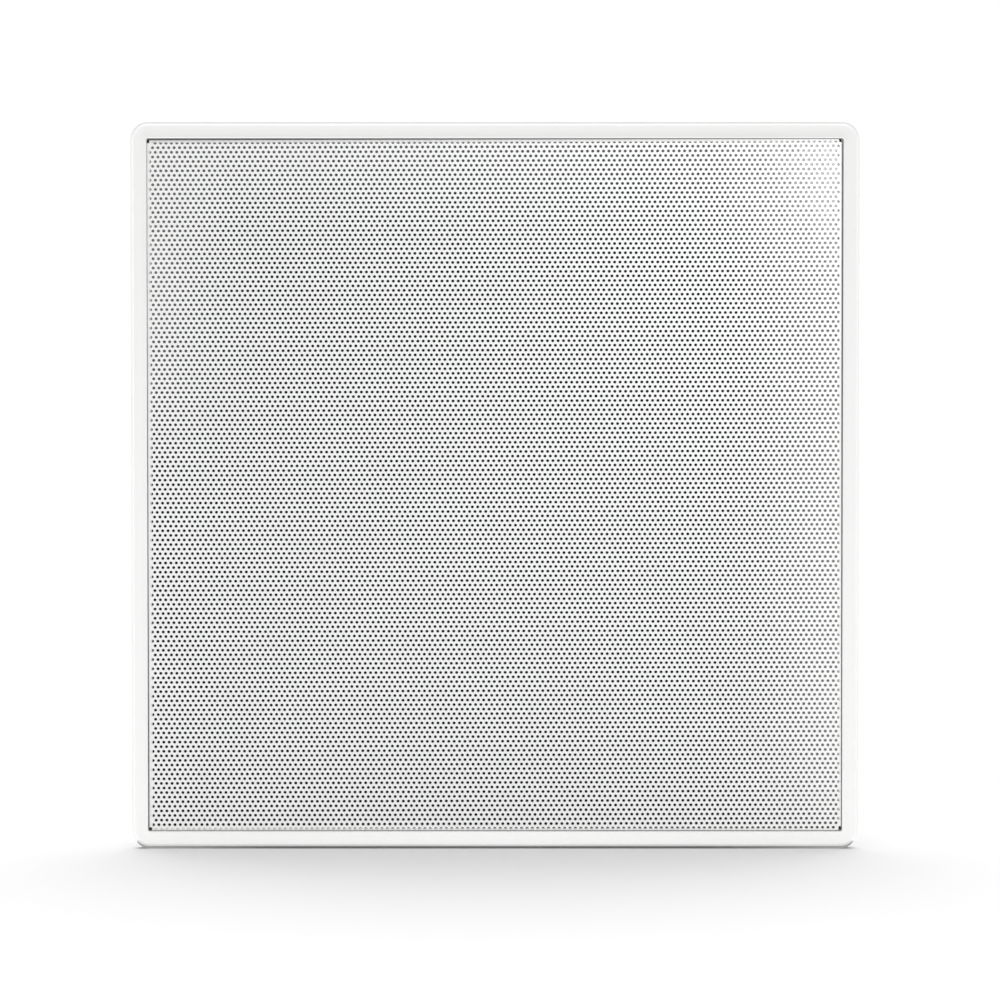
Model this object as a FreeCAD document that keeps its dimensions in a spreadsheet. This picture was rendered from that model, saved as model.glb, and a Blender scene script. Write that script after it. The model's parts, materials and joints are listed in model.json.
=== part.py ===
import FreeCAD, Part
import Sketcher
import math
import os

# Square flush-mount wall speaker.
# X to the right, Y into the wall, Z up, millimetres.
# The wall surface is the plane y = 0; the front looks along -Y.

V = FreeCAD.Vector
doc = FreeCAD.newDocument("wall_speaker")
sheet = doc.addObject("Spreadsheet::Sheet", "dims")


class Q:
    """A size: its value and the sheet expression that gives it."""

    def __init__(self, v, e):
        self.v = float(v)
        self.e = e

    def __add__(self, o):
        o = q(o)
        return Q(self.v + o.v, "(%s + %s)" % (self.e, o.e))

    __radd__ = __add__

    def __sub__(self, o):
        o = q(o)
        return Q(self.v - o.v, "(%s - %s)" % (self.e, o.e))

    def __rsub__(self, o):
        return q(o) - self

    def __mul__(self, o):
        o = q(o)
        return Q(self.v * o.v, "(%s * %s)" % (self.e, o.e))

    __rmul__ = __mul__

    def __truediv__(self, o):
        o = q(o)
        return Q(self.v / o.v, "(%s / %s)" % (self.e, o.e))

    def __neg__(self):
        return Q(-self.v, "(-%s)" % self.e)


def q(x):
    if isinstance(x, Q):
        return x
    x = float(x)
    return Q(x, "%.6f" % x if x >= 0 else "(%.6f)" % x)


rows = [0]


def dim(alias, value, note):
    rows[0] += 1
    r = rows[0]
    sheet.set("A%d" % r, alias)
    sheet.set("B%d" % r, "%.6g" % value)
    sheet.set("C%d" % r, note)
    sheet.setAlias("B%d" % r, alias)
    return Q(value, "dims.%s" % alias)


# ---------------------------------------------------------------- sizes
half_out = dim("half_out", 135.0, "half of the outer side of the bezel")
corner_out = dim("corner_out", 6.6, "outer corner radius of the bezel")
rim_face = dim("rim_face", 6.0, "width of the rim round the grille")
bezel_depth = dim("bezel_depth", 7.0, "rim front above the wall")
rim_edge = dim("rim_edge", 1.5, "rounding of the outer rim edge")
rim_crown = dim("rim_crown", 0.32, "crown of the rim face")
rim_round = dim("rim_round", 14.0, "radius of the crowned rim face")
rim_inner = dim("rim_inner", 0.35, "rounding of the inner rim edge")
flange_t = dim("flange_t", 2.5, "flange thickness")
cut_half = dim("cut_half", 122.0, "half of the outer side of the tunnel")
tunnel_wall = dim("tunnel_wall", 3.0, "tunnel wall thickness")
tunnel_len = dim("tunnel_len", 26.0, "tunnel length behind the flange")
tunnel_corner = dim("tunnel_corner", 6.0, "tunnel outer corner radius")
well_sum = dim("well_sum", 178.0, "x + z on the slanted sides of the well")
well_band = dim("well_band", 3.5, "slanted wall, measured in x + z")
ledge_w = dim("ledge_w", 6.0, "width of the baffle ledge")
ledge_t = dim("ledge_t", 3.0, "thickness of the baffle ledge")
clamp_x = dim("clamp_x", 86.0, "clamp screw axis along the side")
clamp_z = dim("clamp_z", 107.0, "clamp screw axis from the centre")
clamp_boss_r = dim("clamp_boss_r", 6.5, "clamp boss radius")
clamp_boss_len = dim("clamp_boss_len", 6.0, "clamp boss length")
tower_len = dim("tower_len", 66.5, "clamp tower length")
tower_half = dim("tower_half", 9.0, "half of the clamp tower width")
tower_lug = dim("tower_lug", 3.5, "thickness of the tower end lug")
groove_out = dim("groove_out", 133.0, "outer half side of the gasket groove")
groove_in = dim("groove_in", 128.0, "inner half side of the gasket groove")
gasket_t = dim("gasket_t", 1.0, "gasket thickness")
magnet_r = dim("magnet_r", 3.0, "grille magnet radius")
magnet_t = dim("magnet_t", 1.5, "grille magnet thickness")
magnet_at = dim("magnet_at", 124.2, "grille magnets from the centre")
magnet_along = dim("magnet_along", 62.0, "grille magnets along the side")
grille_gap = dim("grille_gap", 0.34, "gap round the grille")
grille_back = dim("grille_back", 0.45, "grille front behind the rim crest")
grille_t = dim("grille_t", 0.8, "grille sheet thickness")
grille_corner = dim("grille_corner", 1.6, "grille corner radius")
grille_fold = dim("grille_fold", 1.0, "grille fold radius")
grille_rest = dim("grille_rest", 0.3, "grille flange in front of the ledge")
cloth_t = dim("cloth_t", 0.3, "cloth thickness")
baffle_front = dim("baffle_front", 10.0, "front of the baffle")
baffle_t = dim("baffle_t", 4.0, "baffle thickness")
baffle_play = dim("baffle_play", 0.3, "play round the baffle")
baffle_screw_at = dim("baffle_screw_at", 116.0, "baffle screws from the centre")
baffle_screw_along = dim("baffle_screw_along", 40.0, "baffle screws along the side")
basket_r = dim("basket_r", 106.0, "basket flange radius")
basket_t = dim("basket_t", 1.2, "basket sheet thickness")
basket_wall = dim("basket_wall", 94.8, "basket wall radius")
basket_base = dim("basket_base", 57.0, "basket base radius")
basket_floor = dim("basket_floor", 47.2, "rear of the basket floor")
basket_hole = dim("basket_hole", 20.5, "hole in the basket floor")
baffle_hole = dim("baffle_hole", 95.5, "woofer opening in the baffle")
woofer_screw_at = dim("woofer_screw_at", 101.5, "woofer screw circle radius")
roll_centre = dim("roll_centre", 86.0, "surround roll centre radius")
roll_mid = dim("roll_mid", 6.0, "surround roll radius")
rubber_t = dim("rubber_t", 0.8, "surround thickness")
cone_t = dim("cone_t", 0.6, "cone thickness along the axis")
former_in = dim("former_in", 18.9, "voice coil former inner radius")
former_out = dim("former_out", 19.2, "voice coil former outer radius")
coil_out = dim("coil_out", 19.7, "voice coil winding outer radius")
plate_hole = dim("plate_hole", 20.1, "hole in the top plate")
plate_r = dim("plate_r", 48.0, "top plate and back plate radius")
plate_t = dim("plate_t", 5.0, "top plate and back plate thickness")
ferrite_r = dim("ferrite_r", 50.0, "ferrite ring outer radius")
ferrite_in = dim("ferrite_in", 25.0, "ferrite ring inner radius")
ferrite_t = dim("ferrite_t", 14.0, "ferrite ring thickness")
pole_r = dim("pole_r", 18.5, "pole radius")
stud_r = dim("stud_r", 4.0, "post stud radius")
post_r = dim("post_r", 6.0, "post radius")
post_bore = dim("post_bore", 2.2, "bore of the post")
run_gap = dim("run_gap", 0.05, "running clearance of turning parts")
face_gap = dim("face_gap", 0.3, "clearance between moving faces")
tilt_y = dim("tilt_y", 21.0, "tilt axis of the tweeter")
fork_front = dim("fork_front", 28.0, "front of the fork base")
fork_t = dim("fork_t", 3.4, "fork base thickness")
fork_r = dim("fork_r", 10.5, "fork base radius")
lug_half = dim("lug_half", 6.2, "half width of the tweeter lug")
pin_r = dim("pin_r", 1.5, "tilt pin radius")
tweeter_r = dim("tweeter_r", 26.0, "tweeter housing radius")
tweeter_front = dim("tweeter_front", 4.0, "front of the tweeter")
tweeter_rear = dim("tweeter_rear", 16.0, "rear of the tweeter housing")
tray_x = dim("tray_x", 48.0, "half length of the crossover tray")
tray_z = dim("tray_z", 31.5, "half width of the crossover tray")
tray_floor = dim("tray_floor", 2.0, "tray floor thickness")
tray_wall = dim("tray_wall", 1.8, "tray wall thickness")
tray_deep = dim("tray_deep", 5.8, "tray wall height above its floor")
board_lift = dim("board_lift", 3.0, "board above the tray floor")
board_t = dim("board_t", 1.6, "board thickness")
board_x = dim("board_x", 45.0, "half length of the board")
board_z = dim("board_z", 28.6, "half width of the board")
board_hole_x = dim("board_hole_x", 41.0, "board screws along x")
board_hole_z = dim("board_hole_z", 25.0, "board screws along z")
screw_r = dim("screw_r", 2.0, "clamp screw radius")
screw_head_r = dim("screw_head_r", 4.2, "clamp screw head radius")
nut_r = dim("nut_r", 4.0, "clamp nut radius")
hub_r = dim("hub_r", 7.0, "clamp arm hub radius")
hub_front = dim("hub_front", 46.0, "front of the clamp arm hub")
hub_len = dim("hub_len", 14.0, "clamp arm hub length")
arm_reach = dim("arm_reach", 29.0, "clamp arm reach from its axis")
arm_half = dim("arm_half", 6.5, "half of the clamp arm width")
foot_len = dim("foot_len", 10.0, "length of the clamp foot")
foot_drop = dim("foot_drop", 10.0, "foot in front of the arm")
wire_r = dim("wire_r", 0.9, "lead radius")
tinsel_r = dim("tinsel_r", 0.5, "tinsel lead radius")
doc.recompute()

half_open = half_out - rim_face
zero = q(0)
plate_front = basket_floor
plate_rear = plate_front + plate_t
ferrite_rear = plate_rear + ferrite_t
yoke_rear = ferrite_rear + plate_t
tray_top = yoke_rear + tray_floor
board_front = tray_top + board_lift
board_rear = board_front + board_t
grille_front = grille_back - bezel_depth
grille_rear = -flange_t - grille_rest

# ---------------------------------------------------------------- helpers


class Draw:
    """A fully constrained sketch whose constraints follow the sheet."""

    def __init__(self, body, name, plane, offset=None):
        self.s = body.newObject("Sketcher::SketchObject", name)
        for f in body.Origin.OriginFeatures:
            if f.Role == plane:
                self.s.AttachmentSupport = [(f, "")]
        self.s.MapMode = "FlatFace"
        if offset is not None:
            self.s.AttachmentOffset = FreeCAD.Placement(V(0, 0, -offset.v), FreeCAD.Rotation())
            self.s.setExpression("AttachmentOffset.Base.z", "-(%s)" % offset.e)
        self.cons = []
        self.exprs = []

    def add(self, con, expr=None):
        self.cons.append(con)
        if expr is not None:
            self.exprs.append((len(self.cons) - 1, expr))

    def fix(self, geo, pos, p):
        for kind, axis, value in (("DistanceX", -2, p[0]), ("DistanceY", -1, p[1])):
            if value.e == "0.000000":
                self.add(Sketcher.Constraint("PointOnObject", geo, pos, axis))
            else:
                self.add(Sketcher.Constraint(kind, -1, 1, geo, pos, value.v), value.e)

    def poly(self, pts):
        pts = [(q(a), q(b)) for a, b in pts]
        n = len(pts)
        base = self.s.GeometryCount
        for i in range(n):
            a, b = pts[i], pts[(i + 1) % n]
            self.s.addGeometry(Part.LineSegment(V(a[0].v, a[1].v, 0), V(b[0].v, b[1].v, 0)), False)
        for i in range(n):
            self.add(Sketcher.Constraint("Coincident", base + i, 2, base + (i + 1) % n, 1))
        for i, p in enumerate(pts):
            self.fix(base + i, 1, p)

    def outline(self, pts):
        """A closed line of straight runs and arcs; a point's third value is the radius of the arc that follows it."""
        pts = [(q(a), q(b), None if r is None else q(r)) for a, b, r in pts]
        n = len(pts)
        base = self.s.GeometryCount
        ends = []
        for i in range(n):
            a, b, r = V(pts[i][0].v, pts[i][1].v, 0), V(pts[(i + 1) % n][0].v, pts[(i + 1) % n][1].v, 0), pts[i][2]
            if r is None:
                self.s.addGeometry(Part.LineSegment(a, b), False)
                ends.append((1, 2))
                continue
            mid, run = (a + b) * 0.5, b - a
            side = V(run.y, -run.x, 0).normalize()
            rise = r.v - math.sqrt(r.v ** 2 - (run.Length / 2.0) ** 2)
            g = self.s.addGeometry(Part.Arc(a, mid + side * rise, b), False)
            ends.append((1, 2) if (self.s.getPoint(g, 1) - a).Length < 1e-6 else (2, 1))
            self.add(Sketcher.Constraint("Radius", g, r.v), r.e)
        for i in range(n):
            k = (i + 1) % n
            self.add(Sketcher.Constraint("Coincident", base + i, ends[i][1], base + k, ends[k][0]))
            self.fix(base + i, ends[i][0], pts[i])

    def circle(self, x, y, r):
        x, y, r = q(x), q(y), q(r)
        g = self.s.addGeometry(Part.Circle(V(x.v, y.v, 0), V(0, 0, 1), r.v), False)
        self.fix(g, 3, (x, y))
        self.add(Sketcher.Constraint("Radius", g, r.v), r.e)

    def rrect(self, hx, hy, r):
        hx, hy, r = q(hx), q(hy), q(r)
        ax, ay = hx - r, hy - r
        pts = [(-ax, -hy), (ax, -hy), (hx, -ay), (hx, ay), (ax, hy), (-ax, hy), (-hx, ay), (-hx, -ay)]
        cen = [(ax, -ay, -90), (ax, ay, 0), (-ax, ay, 90), (-ax, -ay, 180)]
        lines, arcs = [], []
        for i in range(4):
            a, b = pts[2 * i], pts[2 * i + 1]
            lines.append(self.s.addGeometry(Part.LineSegment(V(a[0].v, a[1].v, 0), V(b[0].v, b[1].v, 0)), False))
        for cx, cy, a0 in cen:
            arcs.append(self.s.addGeometry(Part.ArcOfCircle(Part.Circle(V(cx.v, cy.v, 0), V(0, 0, 1), r.v), math.radians(a0), math.radians(a0 + 90)), False))
        for i in range(4):
            self.add(Sketcher.Constraint("Coincident", lines[i], 2, arcs[i], 1))
            self.add(Sketcher.Constraint("Coincident", arcs[i], 2, lines[(i + 1) % 4], 1))
            self.fix(lines[i], 1, pts[2 * i])
            self.fix(lines[i], 2, pts[2 * i + 1])
            self.add(Sketcher.Constraint("Radius", arcs[i], r.v), r.e)

    def rect(self, x0, z0, x1, z1):
        self.poly([(x0, z0), (x1, z0), (x1, z1), (x0, z1)])

    def done(self):
        self.s.addConstraint(self.cons)
        for k, e in self.exprs:
            self.s.setExpression("Constraints[%d]" % k, e)
        return self.s


def body(label):
    b = doc.addObject("PartDesign::Body", label)
    b.Label = label
    return b


def origin(b, role):
    return [f for f in b.Origin.OriginFeatures if f.Role == role][0]


def pad(b, name, draw, y0, y1):
    """Material between the planes y0 and y1."""
    y0, y1 = q(y0), q(y1)
    d = Draw(b, name + "_sketch", "XZ_Plane", y0)
    draw(d)
    f = b.newObject("PartDesign::Pad", name)
    f.Profile = d.done()
    f.Length = y1.v - y0.v
    f.setExpression("Length", (y1 - y0).e)
    f.Reversed = True
    return f


def pocket(b, name, draw, y0, y1):
    """Takes away what lies between the planes y0 and y1."""
    y0, y1 = q(y0), q(y1)
    d = Draw(b, name + "_sketch", "XZ_Plane", y0)
    draw(d)
    f = b.newObject("PartDesign::Pocket", name)
    f.Profile = d.done()
    f.Length = y1.v - y0.v
    f.setExpression("Length", (y1 - y0).e)
    return f


def cross_hole(b, name, y, z, r, width):
    """A round hole along X."""
    d = Draw(b, name + "_sketch", "YZ_Plane")
    d.circle(y, z, r)
    f = b.newObject("PartDesign::Pocket", name)
    f.Profile = d.done()
    f.Midplane = True
    f.Length = q(width).v
    f.setExpression("Length", q(width).e)
    return f


def revolve(b, name, pts):
    """A profile of radius and y turned about the Y axis."""
    d = Draw(b, name + "_sketch", "XY_Plane")
    d.poly(pts)
    f = b.newObject("PartDesign::Revolution", name)
    f.Profile = d.done()
    f.ReferenceAxis = (d.s, ["V_Axis"])
    f.Angle = 360
    return f


def polar(b, name, feats, n):
    f = b.newObject("PartDesign::PolarPattern", name)
    f.Originals = feats
    f.Axis = (origin(b, "Y_Axis"), [""])
    f.Angle = 360
    f.Occurrences = n
    b.Tip = f
    return f


def octagon(a, s):
    b = s - a
    return [(b, a), (a, b), (a, -b), (b, -a), (-b, -a), (-a, -b), (-a, b), (-b, a)]


def four(x, z):
    """The point and its three quarter turns about the Y axis."""
    x, z = q(x), q(z)
    return [(x, z), (-z, x), (-x, -z), (z, -x)]


def eight(a, b):
    return four(a, b) + four(-q(a), b)


def group(label, base, moves):
    """Separate equal solids that share one node."""
    shapes = []
    for m in moves:
        s = base.Shape.copy()
        s.Placement = m.multiply(s.Placement)
        shapes.append(s)
    f = doc.addObject("Part::Feature", label)
    f.Label = label
    f.Shape = Part.makeCompound(shapes)
    return f


def shift(x, y, z, turn=0.0):
    return FreeCAD.Placement(V(q(x).v, q(y).v, q(z).v), FreeCAD.Rotation(V(0, 1, 0), turn))


subparts = []


def keep(obj):
    subparts.append(obj)
    return obj


# ---------------------------------------------------------------- bezel frame
b = keep(body("bezel_frame"))
pad(b, "flange", lambda d: d.rrect(half_out, half_out, corner_out), -flange_t, zero)

# rim: a crowned profile carried round the outer edge
d = Draw(b, "rim_profile", "XY_Plane")
crest = -bezel_depth
bend = math.radians(77.4)
d.outline([
    (half_out, -flange_t + 0.5, None), (half_out, crest + rim_crown + rim_edge, rim_edge),
    (half_out - rim_edge * (1.0 - math.cos(bend)), crest + rim_crown + rim_edge * (1.0 - math.sin(bend)), rim_round),
    (half_open + rim_inner, crest + rim_crown * 0.22, rim_inner + 0.01), (half_open, crest + rim_crown * 0.22 + rim_inner, None),
    (half_open, -flange_t + 0.5, None)])
profile = d.done()
d = Draw(b, "rim_path", "XZ_Plane", -flange_t)
d.rrect(half_out, half_out, corner_out)
path = d.done()
f = b.newObject("PartDesign::AdditivePipe", "rim")
f.Profile = profile
f.Spine = (path, ["Edge%d" % (i + 1) for i in range(8)])

pocket(b, "well_mouth", lambda d: d.poly(octagon(cut_half - tunnel_wall, well_sum)), -flange_t, zero)


def tunnel(d):
    d.rrect(cut_half, cut_half, tunnel_corner)
    d.rrect(cut_half - tunnel_wall, cut_half - tunnel_wall, tunnel_corner - tunnel_wall)


pad(b, "tunnel", tunnel, zero, tunnel_len)
edge = cut_half - tunnel_wall + 1.0
pads = [pad(b, "well_wall", lambda d: d.poly([(well_sum - edge, edge), (edge, well_sum - edge), (edge, well_sum + well_band - edge), (well_sum + well_band - edge, edge)]), zero, baffle_front + baffle_t + ledge_t)]
pads.append(pad(b, "clamp_boss", lambda d: d.circle(clamp_x, clamp_z, clamp_boss_r), zero, clamp_boss_len))


def along(c, u):
    """A point on the line x + z = c, u along the slanted wall from the clamp axis."""
    k = (c - clamp_x - clamp_z) / 2.0
    s = u * math.sqrt(0.5)
    return (clamp_x + k + s, clamp_z + k - s)


def tower(d):
    d.poly([along(well_sum, -tower_half), along(well_sum, tower_half), along(well_sum + well_band, tower_half), along(well_sum + well_band, -tower_half)])


def tower_end(d):
    far = clamp_x + clamp_z + 10.0
    d.poly([along(well_sum, -tower_half), along(well_sum, tower_half), along(far - 5.0, tower_half), along(far, tower_half * 0.45), along(far, tower_half * -0.45), along(far - 5.0, -tower_half)])


pads.append(pad(b, "clamp_tower", tower, zero, tower_len))
pads.append(pad(b, "clamp_tower_end", tower_end, tower_len - tower_lug, tower_len))
polar(b, "corner_set", pads, 4)


def ledge(d):
    d.poly(octagon(cut_half - tunnel_wall + 0.5, well_sum + 0.7))
    d.poly(octagon(cut_half - tunnel_wall - ledge_w, well_sum - ledge_w * 1.4))


pad(b, "baffle_ledge", ledge, baffle_front + baffle_t, baffle_front + baffle_t + ledge_t)

cuts = [pocket(b, "arm_notch", lambda d: d.rect(clamp_x - arm_half - 0.7, cut_half - tunnel_wall - 1.0, clamp_x + arm_half + 0.7, cut_half + 1.0), 4.0, tunnel_len + 0.5)]
cuts.append(pocket(b, "head_recess", lambda d: d.circle(clamp_x, clamp_z, screw_head_r + 0.5), -flange_t, 1.5))
cuts.append(pocket(b, "clamp_hole", lambda d: d.circle(clamp_x, clamp_z, screw_r + 0.2), -flange_t, tower_len + 0.5))
polar(b, "corner_cuts", cuts, 4)


def magnet_seats(d):
    for x, z in eight(magnet_along, magnet_at):
        d.circle(x, z, magnet_r + 0.05)


pocket(b, "magnet_seats", magnet_seats, -flange_t, magnet_t - flange_t)


def gasket_ring(d):
    d.rrect(groove_out, groove_out, corner_out - 2.0)
    d.rrect(groove_in, groove_in, 2.0)


pocket(b, "gasket_groove", gasket_ring, -gasket_t, zero)


def ledge_pilots(d):
    for x, z in eight(baffle_screw_along, baffle_screw_at):
        d.circle(x, z, 1.25)


pocket(b, "ledge_pilots", ledge_pilots, baffle_front + baffle_t, baffle_front + baffle_t + ledge_t)

# ---------------------------------------------------------------- gasket
b = keep(body("flange_gasket"))
pad(b, "gasket", gasket_ring, -gasket_t, zero)

# ---------------------------------------------------------------- grille
grille_half = half_open - grille_gap
b = keep(body("grille"))
pad(b, "pan", lambda d: d.rrect(grille_half, grille_half, grille_corner), grille_front, grille_rear)
front = pocket(b, "pan_inside", lambda d: d.rrect(grille_half - grille_t, grille_half - grille_t, grille_corner - grille_t), grille_front + grille_t, grille_rear)
doc.recompute()
names = []
for i, e in enumerate(front.Shape.Edges):
    bb = e.BoundBox
    if abs(bb.YMin - grille_front.v) < 1e-4 and abs(bb.YMax - grille_front.v) < 1e-4:
        names.append("Edge%d" % (i + 1))
fillet = b.newObject("PartDesign::Fillet", "pan_fold")
fillet.Base = (front, names)
fillet.Radius = grille_fold.v
fillet.setExpression("Radius", grille_fold.e)
lean = FreeCAD.Placement(V(-0.10, 0.0, 0.04), FreeCAD.Rotation(V(0, 1, 0), -0.08))
b.Placement = lean

b = keep(body("grille_cloth"))
pad(b, "cloth", lambda d: d.rrect(grille_half - grille_t - 0.4, grille_half - grille_t - 0.4, 1.5), grille_front + grille_t, grille_front + grille_t + cloth_t)
b.Placement = lean

disc = doc.addObject("Part::Cylinder", "magnet_disc")
disc.setExpression("Radius", magnet_r.e)
disc.setExpression("Height", magnet_t.e)
disc.Placement = FreeCAD.Placement(V(0, -flange_t.v + magnet_t.v, 0), FreeCAD.Rotation(V(1, 0, 0), 90))
doc.recompute()
keep(group("grille_magnets", disc, [shift(x, 0, z) for x, z in eight(magnet_along, magnet_at)]))

# ---------------------------------------------------------------- baffle
b = keep(body("baffle"))
baffle_half = cut_half - tunnel_wall - baffle_play
pad(b, "plate", lambda d: d.poly(octagon(baffle_half, well_sum - baffle_play * 1.4)), baffle_front, baffle_front + baffle_t)


def baffle_holes(d):
    d.circle(0, 0, baffle_hole)
    for x, z in eight(baffle_screw_along, baffle_screw_at):
        d.circle(x, z, 1.6)
    for i in range(8):
        a = math.radians(22.5 + 45 * i)
        d.circle(woofer_screw_at * math.cos(a), woofer_screw_at * math.sin(a), 1.7)


pocket(b, "holes", baffle_holes, baffle_front, baffle_front + baffle_t)


def pan_screw(name, head_r, head_h, shank_r, seat, tip, cross):
    """A pan head screw on the Y axis with a cross recess; its head rests on the plane seat."""
    s = body(name)
    h = seat - head_h
    revolve(s, name + "_turned", [(0, h), (q(head_r) * 0.72, h), (head_r, h + q(head_h) * 0.45), (head_r, seat), (shank_r, seat), (shank_r, tip - q(shank_r) * 1.2), (q(shank_r) * 0.25, tip), (0, tip)])
    c, w = q(cross), q(cross) * 0.18
    pocket(s, name + "_recess", lambda d: d.poly([(w, c), (-w, c), (-w, w), (-c, w), (-c, -w), (-w, -w), (-w, -c), (w, -c), (w, -w), (c, -w), (c, w), (w, w)]), h, h + q(head_h) * 0.62)
    return s


s = pan_screw("baffle_screw_form", 2.8, 2.2, 1.2, baffle_front, baffle_front + 7.4, 1.7)
doc.recompute()
keep(group("baffle_screws", s, [shift(x, 0, z) for x, z in eight(baffle_screw_along, baffle_screw_at)]))

# ---------------------------------------------------------------- woofer
flange_front = baffle_front - basket_t
shelf = basket_floor - 9.2
arm_in, arm_out = basket_base + 4.0, basket_wall - 4.8
slope = (shelf - baffle_front - 8.0) / (basket_wall - basket_base)


def outside(r):
    return baffle_front + 8.0 + (basket_wall - r) * slope


def inside(r):
    return baffle_front + 7.3 + (basket_wall - basket_t - r) * slope


b = keep(body("woofer_basket_rim"))
revolve(b, "rim_ring", [
    (91.0, flange_front), (basket_r, flange_front), (basket_r, baffle_front), (basket_wall, baffle_front), (basket_wall, baffle_front + 8.0),
    (arm_out, outside(arm_out)), (arm_out, inside(arm_out)), (basket_wall - basket_t, baffle_front + 7.3), (basket_wall - basket_t, baffle_front), (91.0, baffle_front)])


def basket_holes(d):
    for i in range(8):
        a = math.radians(22.5 + 45 * i)
        d.circle(woofer_screw_at * math.cos(a), woofer_screw_at * math.sin(a), 1.9)


pocket(b, "screw_holes", basket_holes, flange_front, baffle_front)

b = keep(body("woofer_basket_back"))
revolve(b, "back_pan", [
    (arm_in, inside(arm_in)), (arm_in, outside(arm_in)), (basket_base, shelf), (basket_base, basket_floor), (basket_hole, basket_floor),
    (basket_hole, basket_floor - basket_t), (basket_base - basket_t, basket_floor - basket_t), (basket_base - basket_t, shelf - 0.7)])

# twelve arms with flared ends between the rim and the back, windows between them
band = body("arm_band")
revolve(band, "arm_slope", [(arm_in, inside(arm_in)), (arm_out, inside(arm_out)), (arm_out, outside(arm_out)), (arm_in, outside(arm_in))])
blank = body("arm_blank")


def arm_plan(d):
    side = [(arm_in - 1.0, 8.6), (arm_in + 0.6, 7.9), (arm_in + 2.4, 7.0), (arm_in + 5.0, 6.7), (arm_out - 5.0, 6.7), (arm_out - 2.2, 7.3), (arm_out - 0.8, 8.6), (arm_out + 0.4, 10.6)]
    pts = [(r * math.cos(math.radians(t)), r * math.sin(math.radians(t))) for r, t in side]
    d.poly(pts + [(x, -z) for x, z in pts[::-1]])


pad(blank, "arm_plate", arm_plan, baffle_front + 1.0, basket_floor)
arm = doc.addObject("Part::Common", "basket_arm")
arm.Base, arm.Tool = blank, band
doc.recompute()
keep(group("woofer_basket_arms", arm, [shift(0, 0, 0, 15.0 + 30.0 * i) for i in range(12)]))

lip_front = flange_front - rubber_t
b = keep(body("woofer_gasket"))
revolve(b, "ring", [(92.9, lip_front - 1.6), (96.4, lip_front - 1.6), (97.0, lip_front - 1.0), (97.0, lip_front), (92.9, lip_front)])

b = keep(body("woofer_surround"))
mid = lip_front + rubber_t / 2.0
r_out, r_in = roll_mid + rubber_t / 2.0, roll_mid - rubber_t / 2.0
pts = [(97.0, flange_front), (97.0, lip_front), (roll_centre + r_out, lip_front)]
for i in range(1, 12):
    a = math.radians(180.0 * i / 12)
    pts.append((roll_centre + r_out * math.cos(a), mid - r_out * math.sin(a)))
pts += [(roll_centre - r_out, lip_front), (76.0, lip_front), (76.0, flange_front), (roll_centre - r_in, flange_front)]
for i in range(11, 0, -1):
    a = math.radians(180.0 * i / 12)
    pts.append((roll_centre + r_in * math.cos(a), mid - r_in * math.sin(a)))
pts += [(roll_centre + r_in, flange_front)]
revolve(b, "roll", pts)

b = keep(body("woofer_cone"))
line = [(76.0, 0.0), (68.0, 3.6), (60.0, 6.9), (52.0, 10.0), (45.0, 12.7), (38.0, 15.4), (32.0, 17.8), (26.0, 20.4), (22.0, 22.4), (19.2, 24.2)]
front_side = [(q(79.5), flange_front)] + [(q(r), flange_front + y) for r, y in line]
back_side = [(r, y + cone_t) for r, y in front_side]
back_side[-1] = (former_out, back_side[-1][1])
front_side[-1] = (former_out, front_side[-1][1])
revolve(b, "shell", front_side + back_side[::-1])

b = keep(body("voice_coil_former"))
former_front = flange_front + 23.6
revolve(b, "tube", [(former_in, former_front), (former_out, former_front), (former_out, plate_rear + 4.2), (former_in, plate_rear + 4.2)])

b = keep(body("voice_coil_winding"))
revolve(b, "coil", [(former_out, plate_front - 2.5), (coil_out, plate_front - 2.5), (coil_out, plate_rear + 2.5), (former_out, plate_rear + 2.5)])

b = keep(body("woofer_spider"))
spider_y = basket_floor - 6.6
inner, outer = former_out, basket_base - basket_t
front_side = [(inner, spider_y), (inner + 2.0, spider_y)]
n = 20
for i in range(1, n):
    front_side.append((inner + 2.0 + (outer - inner - 6.0) * (i / n), spider_y + 1.15 * math.sin(2 * math.pi * 5 * i / n + 0.0)))
front_side += [(outer - 4.0, spider_y), (outer, spider_y)]
back_side = [(r, y + 0.5) for r, y in front_side]
revolve(b, "disc", front_side + back_side[::-1])

b = keep(body("woofer_top_plate"))
revolve(b, "plate", [(plate_hole, plate_front), (plate_r - 0.6, plate_front), (plate_r, plate_front + 0.6), (plate_r, plate_rear - 0.6), (plate_r - 0.6, plate_rear), (plate_hole, plate_rear)])

b = keep(body("woofer_magnet"))
revolve(b, "ring", [(ferrite_in, plate_rear), (ferrite_r - 0.8, plate_rear), (ferrite_r, plate_rear + 0.8), (ferrite_r, ferrite_rear - 0.8), (ferrite_r - 0.8, ferrite_rear), (ferrite_in, ferrite_rear)])

b = keep(body("woofer_yoke"))
revolve(b, "yoke", [(stud_r + 0.05, plate_front), (pole_r - 0.6, plate_front), (pole_r, plate_front + 0.6), (pole_r, ferrite_rear), (plate_r - 0.6, ferrite_rear), (plate_r, ferrite_rear + 0.6), (plate_r, yoke_rear - 0.9), (plate_r - 0.9, yoke_rear), (stud_r + 0.05, yoke_rear)])

s = pan_screw("woofer_screw_form", 3.6, 2.3, 1.65, flange_front, flange_front + 10.5, 2.1)
doc.recompute()
keep(group("woofer_screws", s, [shift(woofer_screw_at * math.cos(math.radians(22.5 + 45 * i)), 0, woofer_screw_at * math.sin(math.radians(22.5 + 45 * i))) for i in range(8)]))

strip_front, strip_rear = basket_floor - 8.2, basket_floor - 0.7
b = keep(body("woofer_terminal_strip"))
pad(b, "strip", lambda d: d.rect(basket_base, -9.0, basket_base + 1.6, 9.0), strip_front, strip_rear)

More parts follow.
